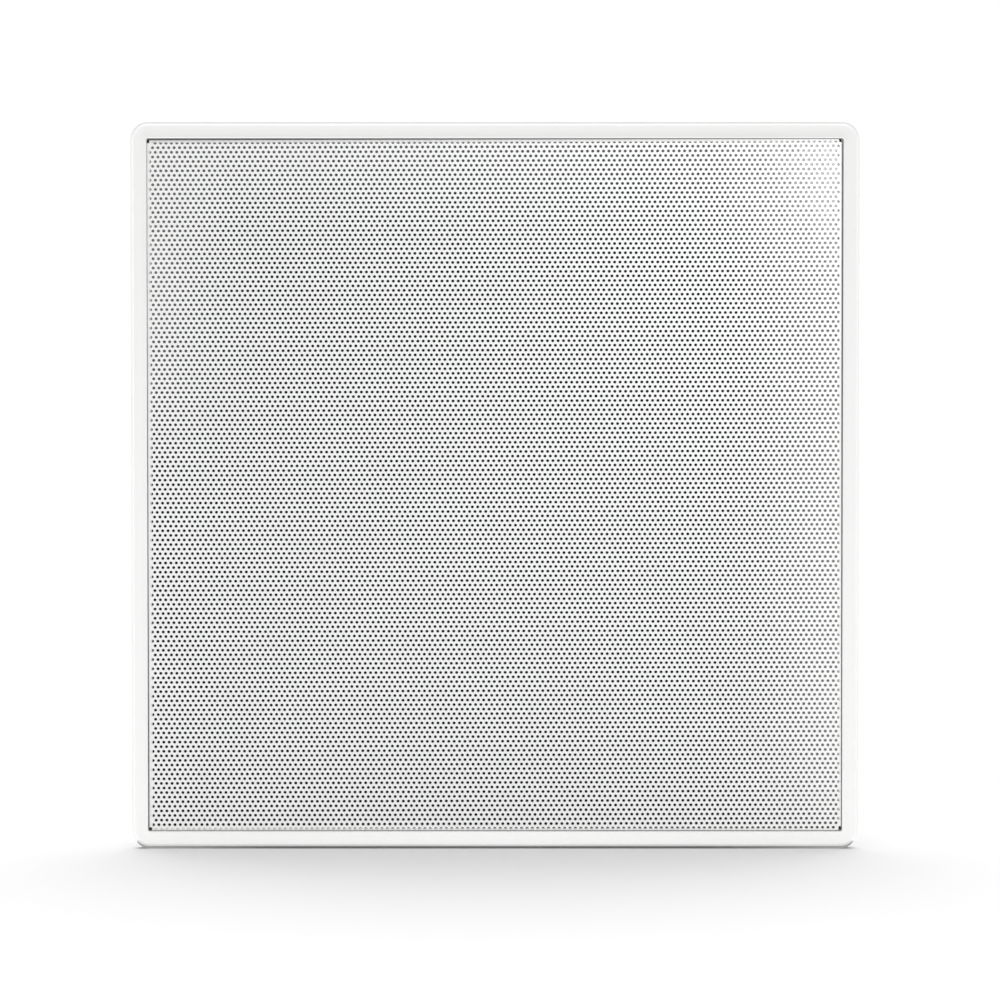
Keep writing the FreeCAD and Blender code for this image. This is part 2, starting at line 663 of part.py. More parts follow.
b = body("lug_form")
pad(b, "tab", lambda d: d.rect(basket_base + 1.6, -1.6, basket_base + 2.2, 1.6), strip_front + 1.0, strip_rear + 3.5)
doc.recompute()
keep(group("woofer_terminal_lugs", b, [shift(0, 0, 4.0), shift(0, 0, -4.0)]))


def tube(points, r):
    """A round lead along a smooth line through the points."""
    curve = Part.BSplineCurve()
    curve.interpolate([V(*p) for p in points])
    spine = Part.Wire([curve.toShape()])
    t = curve.tangent(curve.FirstParameter)[0]
    ring = Part.Wire([Part.makeCircle(r, V(*points[0]), t)])
    return spine.makePipeShell([ring], True, True)


# flexible leads from the lugs through a window to the back of the cone
lug_x = basket_base.v + 2.2 + tinsel_r.v
leads = []
for z in (4.0, -4.0):
    leads.append(tube([(lug_x + 0.06, strip_front.v + 2.2, z), (lug_x + 1.7, strip_front.v - 2.0, z), (64.0, strip_front.v - 8.0, z),(59.5, flange_front.v + 20.5, z * 0.97), (52.0, flange_front.v + 16.2, z * 0.93), (46.0, flange_front.v + 12.32 + cone_t.v + tinsel_r.v + 0.15, z * 0.9)], tinsel_r.v))
f = doc.addObject("Part::Feature", "tinsel_leads")
f.Label = "tinsel_leads"
f.Shape = Part.makeCompound(leads)
keep(f)

# ---------------------------------------------------------------- tweeter
b = keep(body("tweeter_post"))
spigot = fork_front + fork_t + face_gap
revolve(b, "post", [
    (post_bore, fork_front - face_gap - 1.4), (stud_r + 1.2, fork_front - face_gap - 1.4), (stud_r + 1.2, fork_front - face_gap), (stud_r, fork_front - face_gap),
    (stud_r, spigot), (post_r, spigot), (post_r, plate_front), (stud_r, plate_front), (stud_r, board_rear + 2.2), (post_bore, board_rear + 2.2)])

b = keep(body("tweeter_fork"))
pad(b, "base", lambda d: (d.circle(0, 0, fork_r), d.circle(0, 0, stud_r + run_gap)), fork_front, fork_front + fork_t)
ear_in = lug_half + face_gap
pad(b, "ears", lambda d: (d.rect(ear_in, -5.0, ear_in + 2.5, 5.0), d.rect(-ear_in - 2.5, -5.0, -ear_in, 5.0)), tilt_y - 3.2, fork_front + 1.0)
cross_hole(b, "pin_holes", tilt_y, 0, pin_r, 40.0)

b = keep(body("tweeter_pin"))
d = Draw(b, "pin_sketch", "YZ_Plane")
d.circle(tilt_y, 0, pin_r)
f = b.newObject("PartDesign::Pad", "pin")
f.Profile = d.done()
f.Midplane = True
f.Length = 2 * (ear_in.v + 3.1)
f.setExpression("Length", (2 * (ear_in + 3.1)).e)

b = keep(body("tweeter_housing"))
cup_in = tweeter_r - 1.6
floor = tweeter_rear - 1.6
revolve(b, "shell", [(0, floor), (cup_in, floor), (cup_in, tweeter_front + 2.0), (tweeter_r, tweeter_front + 2.0), (tweeter_r, tweeter_rear - 3.0), (tweeter_r - 0.9, tweeter_rear - 0.9), (tweeter_r - 3.0, tweeter_rear), (0, tweeter_rear)])
pad(b, "lug", lambda d: d.rect(-lug_half, -4.5, lug_half, 4.5), tweeter_rear, tilt_y + 3.5)
cross_hole(b, "lug_bore", tilt_y, 0, pin_r + run_gap, 40.0)

b = keep(body("tweeter_faceplate"))
tf = tweeter_front
revolve(b, "ring", [(tweeter_r - 0.6, tf), (22.0, tf), (20.6, tf + 0.35), (17.5, tf + 1.75), (13.8, tf + 3.6), (13.8, tf + 4.6), (20.0, tf + 2.0), (tweeter_r, tf + 2.0), (tweeter_r, tf + 0.6)])

b = keep(body("tweeter_dome"))
revolve(b, "dome", [
    (15.5, tf + 4.6), (12.75, tf + 4.6), (12.2, tf + 3.9), (11.3, tf + 3.25), (10.0, tf + 2.6), (8.4, tf + 2.05), (6.6, tf + 1.62), (4.6, tf + 1.32), (2.4, tf + 1.15), (0, tf + 1.1),
    (0, tf + 1.4), (2.4, tf + 1.45), (4.6, tf + 1.62), (6.6, tf + 1.92), (8.4, tf + 2.37), (9.9, tf + 2.95), (11.1, tf + 3.6), (11.95, tf + 4.25), (12.4, tf + 5.0), (15.5, tf + 5.0)])

b = keep(body("tweeter_coil"))
revolve(b, "coil", [(12.4, tf + 5.0), (12.8, tf + 5.0), (12.8, tf + 8.5), (12.4, tf + 8.5)])

b = keep(body("tweeter_pole_plate"))
revolve(b, "plate", [(0, tf + 5.8), (11.7, tf + 5.8), (11.9, tf + 6.0), (11.9, tf + 7.8), (0, tf + 7.8)])

b = keep(body("tweeter_magnet"))
revolve(b, "disc", [(0, tf + 7.8), (11.4, tf + 7.8), (11.4, tf + 9.4), (0, tf + 9.4)])

b = keep(body("tweeter_cup"))
revolve(b, "cup", [(0, tf + 9.4), (13.3, tf + 9.4), (13.3, tf + 5.0), (15.5, tf + 5.0), (15.5, tf + 9.8), (14.9, tf + 10.4), (0, tf + 10.4)])

b = keep(body("post_nut"))


def hexagon(d):
    d.poly([(q(7.3) * math.cos(math.radians(60 * i)), q(7.3) * math.sin(math.radians(60 * i))) for i in range(6)])
    d.circle(0, 0, stud_r)


pad(b, "nut", hexagon, tray_top, tray_top + 4.0)

# ---------------------------------------------------------------- crossover
b = keep(body("crossover_tray"))
pad(b, "floor", lambda d: (d.rrect(tray_x, tray_z, 3.0), d.circle(0, 0, stud_r + 0.1)), yoke_rear, tray_top)
pad(b, "walls", lambda d: (d.rrect(tray_x, tray_z, 3.0), d.rrect(tray_x - tray_wall, tray_z - tray_wall, 1.2)), tray_top, tray_top + tray_deep)
corners = [(board_hole_x, board_hole_z), (-board_hole_x, board_hole_z), (-board_hole_x, -board_hole_z), (board_hole_x, -board_hole_z)]
pad(b, "standoffs", lambda d: [d.circle(x, z, 3.2) for x, z in corners], tray_top, board_front)
pocket(b, "pilots", lambda d: [d.circle(x, z, 1.2) for x, z in corners], tray_top, board_front)

b = keep(body("crossover_board"))
pad(b, "board", lambda d: (d.rrect(board_x, board_z, 1.5), d.circle(0, 0, 9.0), [d.circle(x, z, 1.7) for x, z in corners]), board_front, board_rear)

b = body("board_screw_form")
h = board_rear + 1.8
revolve(b, "board_screw_turned", [(0, tray_top + 0.4), (0.9, tray_top + 0.4), (1.15, tray_top + 1.0), (1.15, board_rear), (2.8, board_rear), (2.8, board_rear + 1.0), (2.0, h), (0, h)])
pocket(b, "board_screw_recess", lambda d: d.poly([(0.32, 1.6), (-0.32, 1.6), (-0.32, 0.32), (-1.6, 0.32), (-1.6, -0.32), (-0.32, -0.32), (-0.32, -1.6), (0.32, -1.6), (0.32, -0.32), (1.6, -0.32), (1.6, 0.32), (0.32, 0.32)]), h - 1.1, h)
doc.recompute()
keep(group("board_screws", b, [shift(x, 0, z) for x, z in corners]))


def spool(label, core, rim, length):
    s = body(label)
    revolve(s, label + "_turned", [(1.6, 0), (rim, 0), (rim, 1.2), (core, 1.2), (core, q(length) - 1.2), (rim, q(length) - 1.2), (rim, length), (1.6, length)])
    return s


def coil(label, core, outer, length):
    s = body(label)
    revolve(s, label + "_turned", [(core, 1.2), (outer, 1.2), (outer, q(length) - 1.2), (core, q(length) - 1.2)])
    return s


spool_a, spool_b = spool("bobbin_standing", 6.0, 14.0, 14.0), spool("bobbin_lying", 3.5, 8.0, 20.0)
coil_a, coil_b = coil("winding_standing", 6.0, 13.0, 14.0), coil("winding_lying", 3.5, 7.3, 20.0)
doc.recompute()
at_a = FreeCAD.Placement(V(-28.0, board_rear.v, 12.0), FreeCAD.Rotation())
at_b = FreeCAD.Placement(V(34.0, board_rear.v + 8.0, 16.0), FreeCAD.Rotation(V(0, 0, 1), 90))
for label, pair in (("inductor_bobbins", (spool_a, spool_b)), ("inductor_windings", (coil_a, coil_b))):
    f = doc.addObject("Part::Feature", label)
    f.Label = label
    both = []
    for part, place in zip(pair, (at_a, at_b)):
        shape = part.Shape.copy()
        shape.Placement = place.multiply(shape.Placement)
        both.append(shape)
    f.Shape = Part.makeCompound(both)
    keep(f)


def capacitor(label, r, length):
    s = body(label)
    r, length = q(r), q(length)
    revolve(s, label + "_turned", [(0, 0), (r - 1.0, 0), (r, 1.0), (r, length - 1.0), (r - 1.0, length), (0, length)])
    return s


cap_a, cap_b = capacitor("capacitor_long", 6.5, 30.0), capacitor("capacitor_short", 5.0, 26.0)
doc.recompute()
both = []
for part, x, z, r in ((cap_a, 40.0, -4.0, 6.5), (cap_b, -13.0, -10.0, 5.0)):
    shape = part.Shape.copy()
    shape.Placement = FreeCAD.Placement(V(x, board_rear.v + r, z), FreeCAD.Rotation(V(0, 0, 1), 90)).multiply(shape.Placement)
    both.append(shape)
f = doc.addObject("Part::Feature", "crossover_capacitors")
f.Label = "crossover_capacitors"
f.Shape = Part.makeCompound(both)
keep(f)

b = body("resistor_form")
pad(b, "block", lambda d: d.rrect(8.0, 3.5, 0.6), board_rear, board_rear + 7.0)
doc.recompute()
keep(group("crossover_resistors", b, [shift(-22.0, 0, -22.0), shift(39.0, 0, 13.5, 90.0)]))

# push terminals
term_rear = board_rear + 14.2
b = keep(body("terminal_housing"))
pad(b, "block", lambda d: d.rect(-3.0, -28.5, 31.0, -13.5), board_rear, term_rear)
pocket(b, "button_wells", lambda d: (d.rect(1.2, -25.3, 10.8, -16.7), d.rect(17.2, -25.3, 26.8, -16.7)), board_rear + 6.2, term_rear)
pocket(b, "wire_slots", lambda d: (d.rect(4.4, -28.5, 7.6, -16.0), d.rect(20.4, -28.5, 23.6, -16.0)), board_rear + 1.7, board_rear + 5.1)
pocket(b, "press_slots", lambda d: (d.rect(4.9, -23.0, 7.1, -17.5), d.rect(20.9, -23.0, 23.1, -17.5)), board_rear + 5.1, board_rear + 6.2)

for label, x in (("terminal_button_red", 6.0), ("terminal_button_black", 22.0)):
    b = keep(body(label))
    pad(b, "key_" + label, lambda d: d.rect(x - 4.5, -25.0, x + 4.5, -17.0), board_rear + 9.7, board_rear + 17.2)
    pocket(b, "thumb_" + label, lambda d: d.rect(x - 3.2, -23.6, x + 3.2, -18.4), board_rear + 16.6, board_rear + 17.2)

b = body("contact_form")
pad(b, "leaf", lambda d: d.rect(-1.6, -26.0, 1.6, -16.0), board_rear + 1.7, board_rear + 2.2)
doc.recompute()
keep(group("terminal_contacts", b, [shift(6.0, 0, 0), shift(22.0, 0, 0)]))


def bent_tube(points, radii, r):
    """A round lead of straight runs joined by arcs."""
    pts = [V(*p) for p in points]
    edges, last = [], pts[0]
    for i in range(1, len(pts) - 1):
        a, c = (pts[i - 1] - pts[i]).normalize(), (pts[i + 1] - pts[i]).normalize()
        half = a.getAngle(c) / 2.0
        run = radii[i - 1] / math.tan(half)
        p0, p1 = pts[i] + a * run, pts[i] + c * run
        bis = (a + c).normalize()
        m = pts[i] + bis * (radii[i - 1] / math.sin(half) - radii[i - 1])
        edges.append(Part.makeLine(last, p0))
        edges.append(Part.Arc(p0, m, p1).toShape())
        last = p1
    edges.append(Part.makeLine(last, pts[-1]))
    spine = Part.Wire(edges)
    t = (pts[1] - pts[0]).normalize()
    ring = Part.Wire([Part.makeCircle(r, pts[0], t)])
    return spine.makePipeShell([ring], True, True)


out = basket_base.v + 2.2 + wire_r.v
y_board = board_rear.v
leads = [bent_tube([(43.4, y_board, z), (43.4, y_board + 4.4, z), (out, y_board + 4.4, z), (out, strip_rear.v - 2.0, z)], [2.4, 7.0], wire_r.v) for z in (4.0, -4.0)]
f = doc.addObject("Part::Feature", "woofer_leads")
f.Label = "woofer_leads"
f.Shape = Part.makeCompound(leads)
keep(f)

leads = [bent_tube([(0, fork_front.v + 2.0, z), (0, y_board + 5.2, z), (-11.6, y_board + 5.2, z * 1.6), (-11.6, y_board, z * 1.6)], [2.6, 2.4], 0.6) for z in (1.1, -1.1)]
f = doc.addObject("Part::Feature", "tweeter_leads")
f.Label = "tweeter_leads"
f.Shape = Part.makeCompound(leads)
keep(f)

# ---------------------------------------------------------------- clamps
arm_front = hub_front + 2.0
for k, side in enumerate(("top", "left", "bottom", "right")):
    turn = FreeCAD.Placement(V(0, 0, 0), FreeCAD.Rotation(V(0, 1, 0), -90.0 * k))
    axis = FreeCAD.Placement(V(clamp_x.v, 0, clamp_z.v), FreeCAD.Rotation())
    place = turn.multiply(axis)

    b = keep(body("clamp_screw_" + side))
    top, seat = q(-1.3), q(1.2)
    revolve(b, "turned_" + side, [(0, top), (screw_head_r * 0.72, top), (screw_head_r, top + 1.1), (screw_head_r, seat), (screw_r, seat), (screw_r, tower_len - 2.2), (screw_r * 0.4, tower_len - 0.5), (0, tower_len - 0.5)])
    pocket(b, "recess_" + side, lambda d: d.poly([(0.5, 2.6), (-0.5, 2.6), (-0.5, 0.5), (-2.6, 0.5), (-2.6, -0.5), (-0.5, -0.5), (-0.5, -2.6), (0.5, -2.6), (0.5, -0.5), (2.6, -0.5), (2.6, 0.5), (0.5, 0.5)]), top, top + 1.6)
    b.Placement = place

    b = keep(body("clamp_nut_" + side))
    revolve(b, "bush_" + side, [(screw_r + run_gap, hub_front), (nut_r, hub_front), (nut_r, hub_front + hub_len), (screw_r + run_gap, hub_front + hub_len)])
    b.Placement = place

    b = keep(body("clamp_arm_" + side))
    pad(b, "hub_" + side, lambda d: d.circle(0, 0, hub_r), hub_front, hub_front + hub_len)
    pad(b, "beam_" + side, lambda d: d.poly([(0, -arm_half), (arm_reach - 2.0, -arm_half), (arm_reach, -arm_half + 2.0), (arm_reach, arm_half - 2.0), (arm_reach - 2.0, arm_half), (0, arm_half)]), arm_front, hub_front + hub_len)
    pad(b, "foot_" + side, lambda d: d.poly([(arm_reach - foot_len, -arm_half), (arm_reach - 2.0, -arm_half), (arm_reach, -arm_half + 2.0), (arm_reach, arm_half - 2.0), (arm_reach - 2.0, arm_half), (arm_reach - foot_len, arm_half)]), arm_front - foot_drop, arm_front)
    pocket(b, "waist_" + side, lambda d: d.rect(hub_r + 2.0, -arm_half + 2.5, arm_reach - 4.0, arm_half - 2.5), hub_front + hub_len - 7.0, hub_front + hub_len)
    pocket(b, "bore_" + side, lambda d: d.circle(0, 0, nut_r + run_gap), hub_front, hub_front + hub_len)
    b.Placement = place

# ---------------------------------------------------------------- checks and files
doc.recompute()
for o in doc.Objects:
    if "Invalid" in o.State or "Error" in o.State:
        raise SystemExit("not computed: %s %s" % (o.Label, o.State))
labels = [o.Label for o in subparts]
if len(set(labels)) != len(labels):
    raise SystemExit("labels repeat")
os.makedirs("parts", exist_ok=True)
for o in subparts:
    s = o.Shape
    if s.isNull() or not s.isValid() or not s.Solids:
        raise SystemExit("bad shape: %s" % o.Label)
    s.exportStep("parts/%s.step" % o.Label)
    print("%-24s solids %2d  volume %10.1f" % (o.Label, len(s.Solids), s.Volume))
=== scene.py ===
import json
import math

import bpy
import bmesh
import numpy as np
from mathutils import Matrix, Vector

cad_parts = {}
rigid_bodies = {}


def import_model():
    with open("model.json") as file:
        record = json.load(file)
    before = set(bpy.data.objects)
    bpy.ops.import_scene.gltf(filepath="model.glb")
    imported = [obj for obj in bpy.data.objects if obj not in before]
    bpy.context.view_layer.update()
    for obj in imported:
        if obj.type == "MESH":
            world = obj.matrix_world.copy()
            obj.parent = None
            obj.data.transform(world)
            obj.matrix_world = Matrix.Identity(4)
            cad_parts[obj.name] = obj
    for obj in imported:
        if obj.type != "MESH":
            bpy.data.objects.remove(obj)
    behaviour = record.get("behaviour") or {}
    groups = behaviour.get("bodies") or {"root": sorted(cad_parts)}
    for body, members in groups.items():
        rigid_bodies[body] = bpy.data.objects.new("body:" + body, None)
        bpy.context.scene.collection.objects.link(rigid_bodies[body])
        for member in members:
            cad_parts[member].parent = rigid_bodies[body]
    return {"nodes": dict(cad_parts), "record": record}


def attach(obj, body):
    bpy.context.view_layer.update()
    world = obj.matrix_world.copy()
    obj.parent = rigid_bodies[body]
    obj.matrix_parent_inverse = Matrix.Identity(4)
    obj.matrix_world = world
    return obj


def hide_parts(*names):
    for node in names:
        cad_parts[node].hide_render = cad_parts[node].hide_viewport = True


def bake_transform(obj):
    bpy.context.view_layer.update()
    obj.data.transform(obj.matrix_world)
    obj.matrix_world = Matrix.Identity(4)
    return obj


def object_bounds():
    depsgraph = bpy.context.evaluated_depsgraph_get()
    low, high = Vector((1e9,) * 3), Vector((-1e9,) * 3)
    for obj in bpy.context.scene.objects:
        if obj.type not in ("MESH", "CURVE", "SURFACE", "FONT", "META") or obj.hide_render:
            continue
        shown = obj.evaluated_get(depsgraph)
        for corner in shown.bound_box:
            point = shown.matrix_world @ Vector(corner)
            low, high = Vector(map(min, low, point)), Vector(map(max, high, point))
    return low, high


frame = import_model()
cad_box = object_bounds()
NODES = frame["nodes"]
MM = 0.001
SIDES = ("top", "left", "bottom", "right")

# ------------------------------------------------------------------ materials


def material(name, colour, rough, metal=0.0, vary=0.05, vscale=70.0, bump=0.15, bscale=1800.0, bdepth=0.00005,
             rvary=0.06, pattern=None, stretch=(1.0, 1.0, 1.0), detail=4.0, **sockets):
    """A principled shader with a slow colour drift, a fine surface relief and an uneven gloss, all in the part's own metres."""
    m = bpy.data.materials.new(name)
    m.use_nodes = True
    t = m.node_tree
    t.nodes.clear()
    out = t.nodes.new("ShaderNodeOutputMaterial")
    p = t.nodes.new("ShaderNodeBsdfPrincipled")
    t.links.new(p.outputs["BSDF"], out.inputs["Surface"])
    p.inputs["Metallic"].default_value = metal
    for k, v in sockets.items():
        p.inputs[k.replace("_", " ")].default_value = v
    where = t.nodes.new("ShaderNodeTexCoord").outputs["Object"]
    scaled = t.nodes.new("ShaderNodeMapping")
    scaled.inputs["Scale"].default_value = stretch
    t.links.new(where, scaled.inputs["Vector"])
    where = scaled.outputs["Vector"]

    slow = t.nodes.new("ShaderNodeTexNoise")
    slow.inputs["Scale"].default_value = vscale
    slow.inputs["Detail"].default_value = 3.0
    t.links.new(where, slow.inputs["Vector"])
    ramp = t.nodes.new("ShaderNodeValToRGB")
    ramp.color_ramp.elements[0].position, ramp.color_ramp.elements[1].position = 0.28, 0.72
    ramp.color_ramp.elements[0].color = tuple(c * (1.0 - vary) for c in colour) + (1.0,)
    ramp.color_ramp.elements[1].color = tuple(min(1.0, c * (1.0 + vary)) for c in colour) + (1.0,)
    t.links.new(slow.outputs["Fac"], ramp.inputs["Fac"])
    colour_out = ramp.outputs["Color"]

    fine = t.nodes.new("ShaderNodeTexNoise")
    fine.inputs["Scale"].default_value = bscale
    fine.inputs["Detail"].default_value = detail
    fine.inputs["Roughness"].default_value = 0.6
    t.links.new(where, fine.inputs["Vector"])
    height = fine.outputs["Fac"]
    if pattern is not None:
        colour_out, height = pattern(t, where, colour_out, height)
    b = t.nodes.new("ShaderNodeBump")
    b.inputs["Strength"].default_value = bump
    b.inputs["Distance"].default_value = bdepth
    t.links.new(height, b.inputs["Height"])
    t.links.new(b.outputs["Normal"], p.inputs["Normal"])
    t.links.new(colour_out, p.inputs["Base Color"])
    if rvary:
        r = t.nodes.new("ShaderNodeMapRange")
        r.inputs["From Min"].default_value, r.inputs["From Max"].default_value = 0.3, 0.7
        r.inputs["To Min"].default_value, r.inputs["To Max"].default_value = max(0.02, rough - rvary), min(1.0, rough + rvary)
        t.links.new(slow.outputs["Fac"], r.inputs["Value"])
        t.links.new(r.outputs["Result"], p.inputs["Roughness"])
    else:
        p.inputs["Roughness"].default_value = rough
    return m


def mix_colours(t, fac, a, b):
    mix = t.nodes.new("ShaderNodeMix")
    mix.data_type = "RGBA"
    t.links.new(fac, mix.inputs["Factor"])
    for s, v in ((mix.inputs["A"], a), (mix.inputs["B"], b)):
        if isinstance(v, tuple):
            s.default_value = v + (1.0,)
        else:
            t.links.new(v, s)
    return mix.outputs["Result"]


def math_node(t, op, a, b=None):
    n = t.nodes.new("ShaderNodeMath")
    n.operation = op
    for s, v in zip(n.inputs, (a, b)):
        if v is None:
            continue
        if isinstance(v, (int, float)):
            s.default_value = v
        else:
            t.links.new(v, s)
    return n.outputs[0]


def weave(pitch, dark, light, flat_axes=("X", "Z")):
    """Crossing threads: warp and weft taking turns on top, pitch in metres."""

    def pattern(t, where, colour, height):
        xyz = t.nodes.new("ShaderNodeSeparateXYZ")
        t.links.new(where, xyz.inputs[0])
        k = 2.0 * math.pi / pitch
        a = math_node(t, "SINE", math_node(t, "MULTIPLY", xyz.outputs[flat_axes[0]], k))
        b = math_node(t, "SINE", math_node(t, "MULTIPLY", xyz.outputs[flat_axes[1]], k))
        over = math_node(t, "ADD", math_node(t, "MULTIPLY", math_node(t, "MULTIPLY", a, b), 0.5), 0.5)
        threads = math_node(t, "MAXIMUM", math_node(t, "ABSOLUTE", a), math_node(t, "ABSOLUTE", b))
        h = math_node(t, "ADD", math_node(t, "MULTIPLY", over, 0.6), math_node(t, "MULTIPLY", threads, 0.4))
        h = math_node(t, "ADD", h, math_node(t, "MULTIPLY", height, 0.35))
        return mix_colours(t, h, dark, light), h

    return pattern


def specks(dark, scale, low, high):
    """Small darker cells or grains scattered over the colour."""

    def pattern(t, where, colour, height):
        v = t.nodes.new("ShaderNodeTexVoronoi")
        v.inputs["Scale"].default_value = scale
        t.links.new(where, v.inputs["Vector"])
        r = t.nodes.new("ShaderNodeMapRange")
        r.inputs["From Min"].default_value, r.inputs["From Max"].default_value = low, high
        t.links.new(v.outputs["Distance"], r.inputs["Value"])
        h = math_node(t, "ADD", math_node(t, "MULTIPLY", v.outputs["Distance"], 0.8), math_node(t, "MULTIPLY", height, 0.2))
        return mix_colours(t, r.outputs["Result"], dark, colour), h

    return pattern


def turned(pitch, depth=0.6):
    """Fine rings left by turning about the Y axis."""

    def pattern(t, where, colour, height):
        xyz = t.nodes.new("ShaderNodeSeparateXYZ")
        t.links.new(where, xyz.inputs[0])
        r = math_node(t, "SQRT", math_node(t, "ADD", math_node(t, "POWER", xyz.outputs["X"], 2.0), math_node(t, "POWER", xyz.outputs["Z"], 2.0)))
        s = math_node(t, "SINE", math_node(t, "MULTIPLY", math_node(t, "ADD", r, xyz.outputs["Y"]), 2.0 * math.pi / pitch))
        h = math_node(t, "ADD", math_node(t, "MULTIPLY", s, depth), height)
        return colour, h

    return pattern


def grain(scale_long, scale_cross, dark):
    """A faint drawn grain, longer one way than the other."""

    def pattern(t, where, colour, height):
        mp = t.nodes.new("ShaderNodeMapping")
        mp.inputs["Scale"].default_value = (scale_cross, scale_cross, scale_long)
        t.links.new(where, mp.inputs["Vector"])
        n = t.nodes.new("ShaderNodeTexNoise")
        n.inputs["Scale"].default_value = 1.0
        n.inputs["Detail"].default_value = 5.0
        t.links.new(mp.outputs["Vector"], n.inputs["Vector"])
        h = math_node(t, "ADD", math_node(t, "MULTIPLY", n.outputs["Fac"], 0.8), math_node(t, "MULTIPLY", height, 0.2))
        return mix_colours(t, n.outputs["Fac"], dark, colour), h

    return pattern


